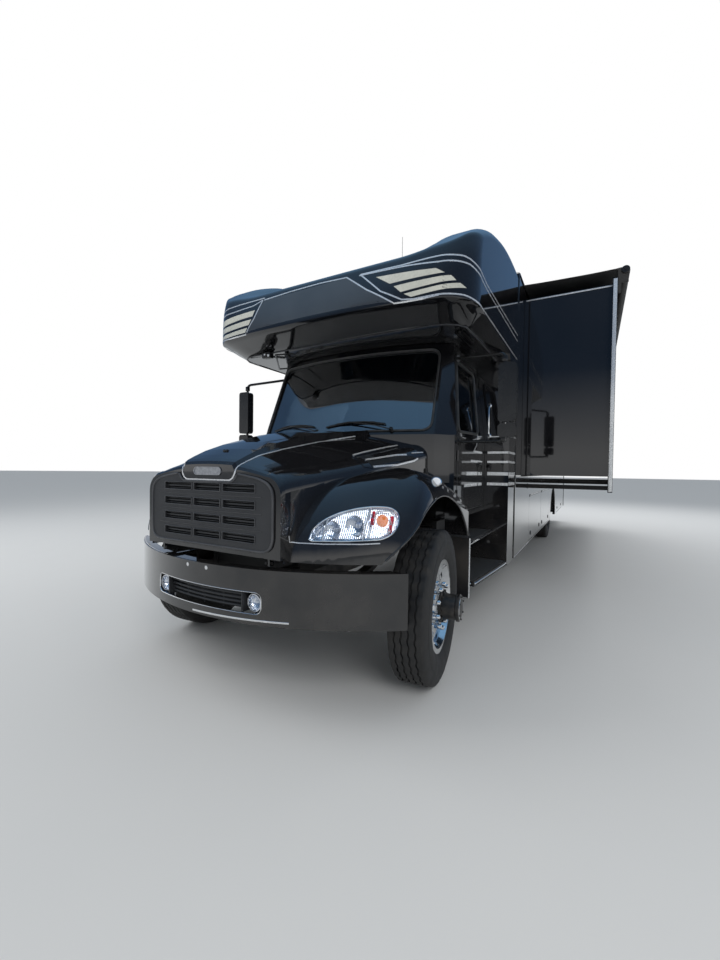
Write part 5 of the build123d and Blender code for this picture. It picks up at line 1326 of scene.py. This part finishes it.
add_piece("mud_flap_edges", flaps, "chassis", silver)

# Coach walls: flat laminated fibreglass sides. Black extrusions cover the joint behind the cap and the
# rear corners, a drip rail runs along each roof edge, and the slide-out's opening has a rubber seal.
wall_x = 1.270
rear_y = 11.700
skirt_z = 0.455
trim_top = 3.530
extrusions, seals = bmesh.new(), bmesh.new()
for side in (1, -1):
    inner, outer = sorted((side * (wall_x - 0.003), side * (wall_x + 0.008)))
    block(extrusions, (inner, 3.072, skirt_z), (outer, 3.108, trim_top), 0.0035)
    block(extrusions, (inner, rear_y - 0.040, skirt_z), (outer, rear_y + 0.008, trim_top), 0.0035)
    low, high = sorted((side * (wall_x - 0.045), side * (wall_x + 0.004)))
    block(extrusions, (low, rear_y - 0.003, skirt_z), (high, rear_y + 0.008, trim_top), 0.0035)
    bar(extrusions, [(side * (wall_x + 0.001), y, trim_top + 0.006) for y in (3.10, 7.40, rear_y)], 0.0095, 8)
    bar(extrusions, [(side * (wall_x - 0.002), y, skirt_z) for y in (3.10, 4.28)], 0.007, 8)
bar(extrusions, [(x, rear_y + 0.001, trim_top + 0.004) for x in (-wall_x, 0, wall_x)], 0.0085, 8)
block(extrusions, (1.236, 3.500, 3.540), (1.262, 10.925, 3.5745), 0.003)
add_piece("coach_joint_trims_and_drip_rails", extrusions, "chassis", gloss_black)
bar(seals, [(1.262, p.x, p.y) for p in rectangle(3.5010, 1.3490, 10.9230, 3.4160, 0.02)], 0.0032, 8, True)
add_piece("slide_opening_seal", seals, "chassis", gasket_rubber)

# Coach windows: dark tinted panes bonded flush, each behind a black frame with a raised inner bead, and
# with a sash bar where a pane slides.
sash_black = mottled("sash_black", (0.012, 0.012, 0.013), (0.020, 0.020, 0.021), (8.0,), (0.3, 0.7),
                     (0.28, 0.4), (300.0,))


def window_frame(shape, low_a, low_b, high_a, high_b, radius, place, sash=None):
    """A frame lapped over the wall round one window, and the bar where a sliding sash ends."""
    edge = rectangle(low_a, low_b, high_a, high_b, radius, 6)
    rim(shape, drawn_in(edge, -0.024), drawn_in(edge, 0.010), place, -0.004, 0.007)
    rim(shape, drawn_in(edge, -0.004), drawn_in(edge, 0.014), place, 0.001, 0.0095)
    if sash:
        bar_edge = rectangle(sash - 0.012, low_b + 0.008, sash + 0.012, high_b - 0.008)
        plate(shape, bar_edge, place, -0.003, 0.006, 0.002)


frames, door_frame, slide_frames = bmesh.new(), bmesh.new(), bmesh.new()
on_right = from_side(-wall_x, -1)
on_rear = lambda a, b, out: Vector((a, rear_y + out, b))
for low_y, high_y in ((4.50, 5.40), (6.20, 7.40), (9.30, 10.20)):
    window_frame(frames, low_y, 2.05, high_y, 2.75, 0.06, on_right, (low_y + high_y) / 2)
window_frame(frames, -0.45, 2.15, 0.45, 2.80, 0.06, on_rear)
add_piece("coach_window_frames", frames, "chassis", sash_black)
window_frame(door_frame, 3.55, 1.90, 3.91, 2.70, 0.05, on_right)
seam = rectangle(3.374, 0.806, 4.086, 2.946, 0.03)
rim(door_frame, drawn_in(seam, 0.002), drawn_in(seam, 0.016), on_right, -0.003, 0.006)
add_piece("entry_door_frames", door_frame, "entry_door", sash_black)
on_slide = from_side(2.190)
for low_y, low_z, high_y, high_z, sash in ((4.3, 2.10, 5.5, 2.75, 4.9), (6.4, 2.10, 7.8, 2.75, 7.1),
                                           (9.3, 2.25, 10.1, 2.75, None)):
    window_frame(slide_frames, low_y, low_z, high_y, high_z, 0.06, on_slide, sash)
add_piece("slide_window_frames", slide_frames, "slide_room", sash_black)

# Entry door hardware: a black paddle latch with a lock cylinder at the door's rear edge, three hinge
# knuckles, and on the wall behind it a bright grab handle on two feet.
paddle, knuckles, grab = bmesh.new(), bmesh.new(), bmesh.new()
paddle_edge = rectangle(3.957, 1.672, 4.043, 1.828, 0.014)
rim(paddle, rectangle(3.945, 1.66, 4.055, 1.84, 0.02), paddle_edge, on_right, -0.002, 0.010)
plate(paddle, paddle_edge, on_right, -0.002, 0.003)
plate(paddle, rectangle(3.968, 1.735, 4.034, 1.818, 0.010), on_right, 0.0, 0.016, 0.004)
lathe(paddle, [(-0.001, 0.012), (0.005, 0.012), (0.007, 0.006), (0.007, 0.0)],
      (-wall_x, 4.000, 1.702), (-1, 0, 0), 16)
add_piece("entry_door_latch", paddle, "entry_door", mirror_black)
for z in (0.98, 1.86, 2.76):
    bar(knuckles, [(-wall_x - 0.005, 3.392, z - 0.045), (-wall_x - 0.005, 3.392, z + 0.045)], 0.007, 10)
add_piece("entry_door_hinge_knuckles", knuckles, "entry_door", sash_black)
grab_route = [(-wall_x, 4.165, 1.20), (-wall_x - 0.040, 4.165, 1.215), (-wall_x - 0.052, 4.165, 1.26),
              (-wall_x - 0.052, 4.165, 1.88), (-wall_x - 0.040, 4.165, 1.925), (-wall_x, 4.165, 1.94)]
bar(grab, grab_route, 0.0125, 12)
for z in (1.20, 1.94):
    lathe(grab, [(-0.001, 0.030), (0.005, 0.030), (0.009, 0.018), (0.009, 0.0)],
          (-wall_x, 4.165, z), (-1, 0, 0), 20)
add_piece("entry_grab_handle", grab, "chassis", chrome)

# Storage doors: each has two round twist latches near its foot and a full-length hinge bead along its top,
# in black, and they swing with the door.
latch_z = 0.560
latch_inset = 0.18
hinge_z = 1.078
for hand, side in (("left", 1), ("right", -1)):
    for part, low_y, high_y in (("front", 4.30, 5.70), ("middle", 5.76, 7.16), ("rear", 9.15, 10.75)):
        fittings = bmesh.new()
        name = f"storage_door_{hand}_{part}"
        door_skin = skin_of(name)
        for y in (low_y + latch_inset, high_y - latch_inset):
            foot = on_flank(door_skin, side, y, latch_z)
            lathe(fittings, [(-0.002, 0.030), (0.003, 0.030), (0.006, 0.026), (0.003, 0.022), (0.003, 0.0)],
                  foot, (side, 0, 0), 24)
            half = Vector((0.0065, 0.020, 0.005))
            block(fittings, foot - half, foot + half, 0.002)
        ends = [on_flank(door_skin, side, y, hinge_z) for y in (low_y + 0.01, high_y - 0.01)]
        bar(fittings, ends, 0.0055, 8)
        add_piece(f"{name}_latches", fittings, name, mirror_black)

# Patio awning: turned end castings and a front lip on its tube, and pressed brackets that hold the long case
# to the right wall.
awning_parts = bmesh.new()
for y, toward in ((4.30, -1), (9.50, 1)):
    lathe(awning_parts, [(-0.004, 0.0), (-0.004, 0.056), (0.014, 0.056), (0.019, 0.050), (0.020, 0.0)],
          (-1.332, y, 3.400), (0, toward, 0), 32)
bar(awning_parts, [(-1.381, y, 3.386) for y in (4.32, 6.90, 9.48)], 0.006, 8)
for y in (4.9, 6.9, 8.9):
    block(awning_parts, (-1.306, y - 0.05, 3.455), (-1.268, y + 0.05, 3.478), 0.004)
add_piece("patio_awning_fittings", awning_parts, "chassis", mirror_black)

# Roof units: raised louvres along the flanks and across the back of each air conditioner's moulded shroud,
# black like the shroud.
louvres = bmesh.new()
unit_skin = skin_of("roof_air_conditioners")
for middle_y in (4.6, 8.2):
    for z in (3.66, 3.70, 3.74, 3.78):
        for side in (1, -1):
            stripe(louvres, [(side * 0.40, middle_y + y, z) for y in (-0.34, 0.34)],
                   0.012, unit_skin, 0.004, 0.2, 0.002)
        stripe(louvres, [(x, middle_y + 0.56, z) for x in (-0.26, 0.26)], 0.012, unit_skin, 0.004, 0.2, 0.002)
add_piece("roof_unit_louvres", louvres, "chassis", mirror_black)

# Tail lamps: two red lenses a side, each under a bright bezel screwed to the rear wall.
# The lenses are the frame's own pieces, and the bezels are drawn here.
lamp_bezels = bmesh.new()
for side in (1, -1):
    for low_z, high_z in ((1.05, 1.25), (1.28, 1.48)):
        edge = rectangle(side * 1.16 - 0.055, low_z, side * 1.16 + 0.055, high_z, 0.012)
        rim(lamp_bezels, drawn_in(edge, -0.011), drawn_in(edge, -0.0008), on_rear, -0.001, 0.014)
add_piece("tail_lamp_bezels", lamp_bezels, "chassis", chrome)

# Slide-out trim: bright aluminium mouldings, glued to the edges of the outer wall's flange and along the
# top of each end wall.
slide_edges = bmesh.new()
for y, toward in ((3.462, -1), (10.962, 1)):
    low, high = sorted((y - toward * 0.0005, y + toward * 0.0035))
    block(slide_edges, (2.151, low, 1.200), (2.186, high, 3.440), 0.0012)
for y, toward in ((3.512, -1), (10.912, 1)):
    low, high = sorted((y - toward * 0.0005, y + toward * 0.0025))
    block(slide_edges, (1.290, low, 3.383), (2.143, high, 3.397), 0.0010)
add_piece("slide_edge_mouldings", slide_edges, "slide_room", silver)

# Slide awning: black vinyl cloth rolled off a spring tube. It is sewn into the rail on the roof's edge,
# sags a little over the room and lies round the tube's top.
tube_x, tube_z, tube_radius = 2.255, 3.516, 0.042
rail_x, rail_z = 1.249, 3.5755
lay_radius = tube_radius + 0.0006
sag = 0.010
sag_steps = 24
wrap_steps = 7
wrap_angle = 15
tube_top = tube_z + lay_radius
cloth_line = [Vector((rail_x + (tube_x - rail_x) * step / sag_steps,
                      rail_z + (tube_top - rail_z) * step / sag_steps
                      - sag * math.sin(math.pi * step / sag_steps)))
              for step in range(sag_steps)]
for step in range(wrap_steps):
    angle = math.radians(90 - wrap_angle * step)
    cloth_line.append(Vector((tube_x + lay_radius * math.cos(angle), tube_z + lay_radius * math.sin(angle))))
cloth_front, cloth_rear, cloth_thick = 3.502, 10.922, 0.0012
cloth_steps = 60
ripple = random.Random(7)
ripples = [(ripple.uniform(0.4, 1.6), ripple.uniform(0, 6.3),
            ripple.uniform(0.0006, 0.0016)) for each in range(5)]
cloth = bmesh.new()
sides = []
for lift in (cloth_thick, 0.0):
    rows = []
    for place in range(cloth_steps + 1):
        y = cloth_front + (cloth_rear - cloth_front) * place / cloth_steps
        row = []
        for number, point in enumerate(cloth_line):
            before = cloth_line[max(number - 1, 0)]
            after = cloth_line[min(number + 1, len(cloth_line) - 1)]
            along = (after - before).normalized()
            loose = math.sin(math.pi * min(1.0, number / (sag_steps - 1))) ** 2
            wave = loose * sum(size * math.sin(rate * y * 4 + start + number * 0.25)
                               for rate, start, size in ripples)
            spot = point + Vector((-along.y, along.x)) * lift
            row.append(cloth.verts.new((spot.x, y, spot.y + wave)))
        rows.append(row)
    sides.append(rows)
for rows in sides:
    walls(cloth, rows, closed=False)
top, under = sides
for place in range(cloth_steps):
    for a in (0, -1):
        cloth.faces.new((top[place][a], top[place + 1][a], under[place + 1][a], under[place][a]))
for place in (0, -1):
    for a in range(len(cloth_line) - 1):
        cloth.faces.new((top[place][a], top[place][a + 1], under[place][a + 1], under[place][a]))
slide_awning = add_piece("slide_awning_cloth", cloth, None, awning_cloth,
                         ["slide_awning_fabric"], 60)
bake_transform(slide_awning)
roller_ends = bmesh.new()
for y, toward in ((3.466, -1), (10.958, 1)):
    lathe(roller_ends, [(-0.002, 0.0), (-0.002, 0.040), (0.008, 0.040), (0.013, 0.034), (0.014, 0.012),
                        (0.020, 0.010), (0.020, 0.0)], (tube_x, y, tube_z), (0, toward, 0), 32)
add_piece("slide_awning_end_caps", roller_ends, "slide_room", mirror_black)

# Cab seats: two air-suspension seats. Foam cushions and backs are covered in grey leather, the cushions piped
# and stitched in channels, on a rubber bellows over a low riser.
def pad(shape, middle, half, lean=0.0, power=4.5, cuts=18, channels=(), depth=0.006):
    """A stuffed block, rounded and crowned on every face, with stitched channels across its top."""
    foam = bmesh.new()
    bmesh.ops.create_cube(foam, size=2.0)
    bmesh.ops.subdivide_edges(foam, edges=foam.edges[:], cuts=cuts, use_grid_fill=True)
    turn = Matrix.Rotation(lean, 3, "X")
    for vert in foam.verts:
        swell = sum(abs(c) ** power for c in vert.co) ** (-1 / power)
        spot = Vector([c * swell * reach for c, reach in zip(vert.co, half)])
        if spot.z > half[2] * 0.4:
            spot.z -= depth * sum(math.exp(-((spot.x - line) / 0.008) ** 2) for line in channels)
        vert.co = Vector(middle) + turn @ spot
    foam_mesh = bpy.data.meshes.new("foam")
    foam.to_mesh(foam_mesh)
    foam.free()
    shape.from_mesh(foam_mesh)
    bpy.data.meshes.remove(foam_mesh)


seat_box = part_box("cab_seats")
seat_floor = seat_box[0].z - nose.z
cushions, backs, piping, risers = (bmesh.new() for each in range(4))
seat_y = 2.235
riser_half, riser_front_y, riser_rear_y = 0.150, 2.100, 2.400
riser_foot = 0.05
fold_step = 0.020
folds_end = 1.300
channel_lines = (-0.135, -0.09, -0.045, 0.0, 0.045, 0.09, 0.135)
back_lean = math.radians(-7.5)
for x in (-0.48, 0.48):
    pad(cushions, (x, seat_y, 1.400), (0.236, 0.232, 0.062), 0.0, 4.5, 30, channel_lines)
    pad(backs, (x, 2.560, 1.640), (0.222, 0.066, 0.245), back_lean)
    pad(backs, (x, 2.602, 2.000), (0.150, 0.050, 0.120), back_lean, 3.4, 12)
    reach_x, reach_y = 0.230, 0.226
    for z in (1.372, 1.428):
        edge = rectangle(x - reach_x, seat_y - reach_y, x + reach_x, seat_y + reach_y, 0.085, 6)
        bar(piping, [(p.x, p.y, z) for p in edge], 0.0042, 8, True)
    for post in (-0.06, 0.06):
        bar(risers, [(x + post, 2.586, 1.86), (x + post, 2.598, 1.96)], 0.007, 10)
    block(risers, (x - riser_half, riser_front_y, seat_floor),
          (x + riser_half, riser_rear_y, seat_floor + riser_foot), 0.008)
    fold = 0
    height = seat_floor + riser_foot
    while height < folds_end:
        inset = 0.004 if fold % 2 else 0.022
        edge = rectangle(x - riser_half + inset, riser_front_y + inset, x + riser_half - inset,
                         riser_rear_y - inset, 0.03)
        plate(risers, edge, on_level(0.0), height, min(height + 0.022, 1.318), 0.006)
        height += fold_step
        fold += 1
    block(risers, (x - 0.200, 2.050, 1.316), (x + 0.200, 2.420, 1.345), 0.008)
seat_cushions = add_piece("cab_seat_cushions", cushions, "chassis", seat_leather, ["cab_seats"])
seat_backs = add_piece("cab_seat_backs", backs, "chassis", seat_leather)
add_piece("cab_seat_piping", piping, "chassis", interior_grey)
add_piece("cab_seat_risers", risers, "chassis", rubber)
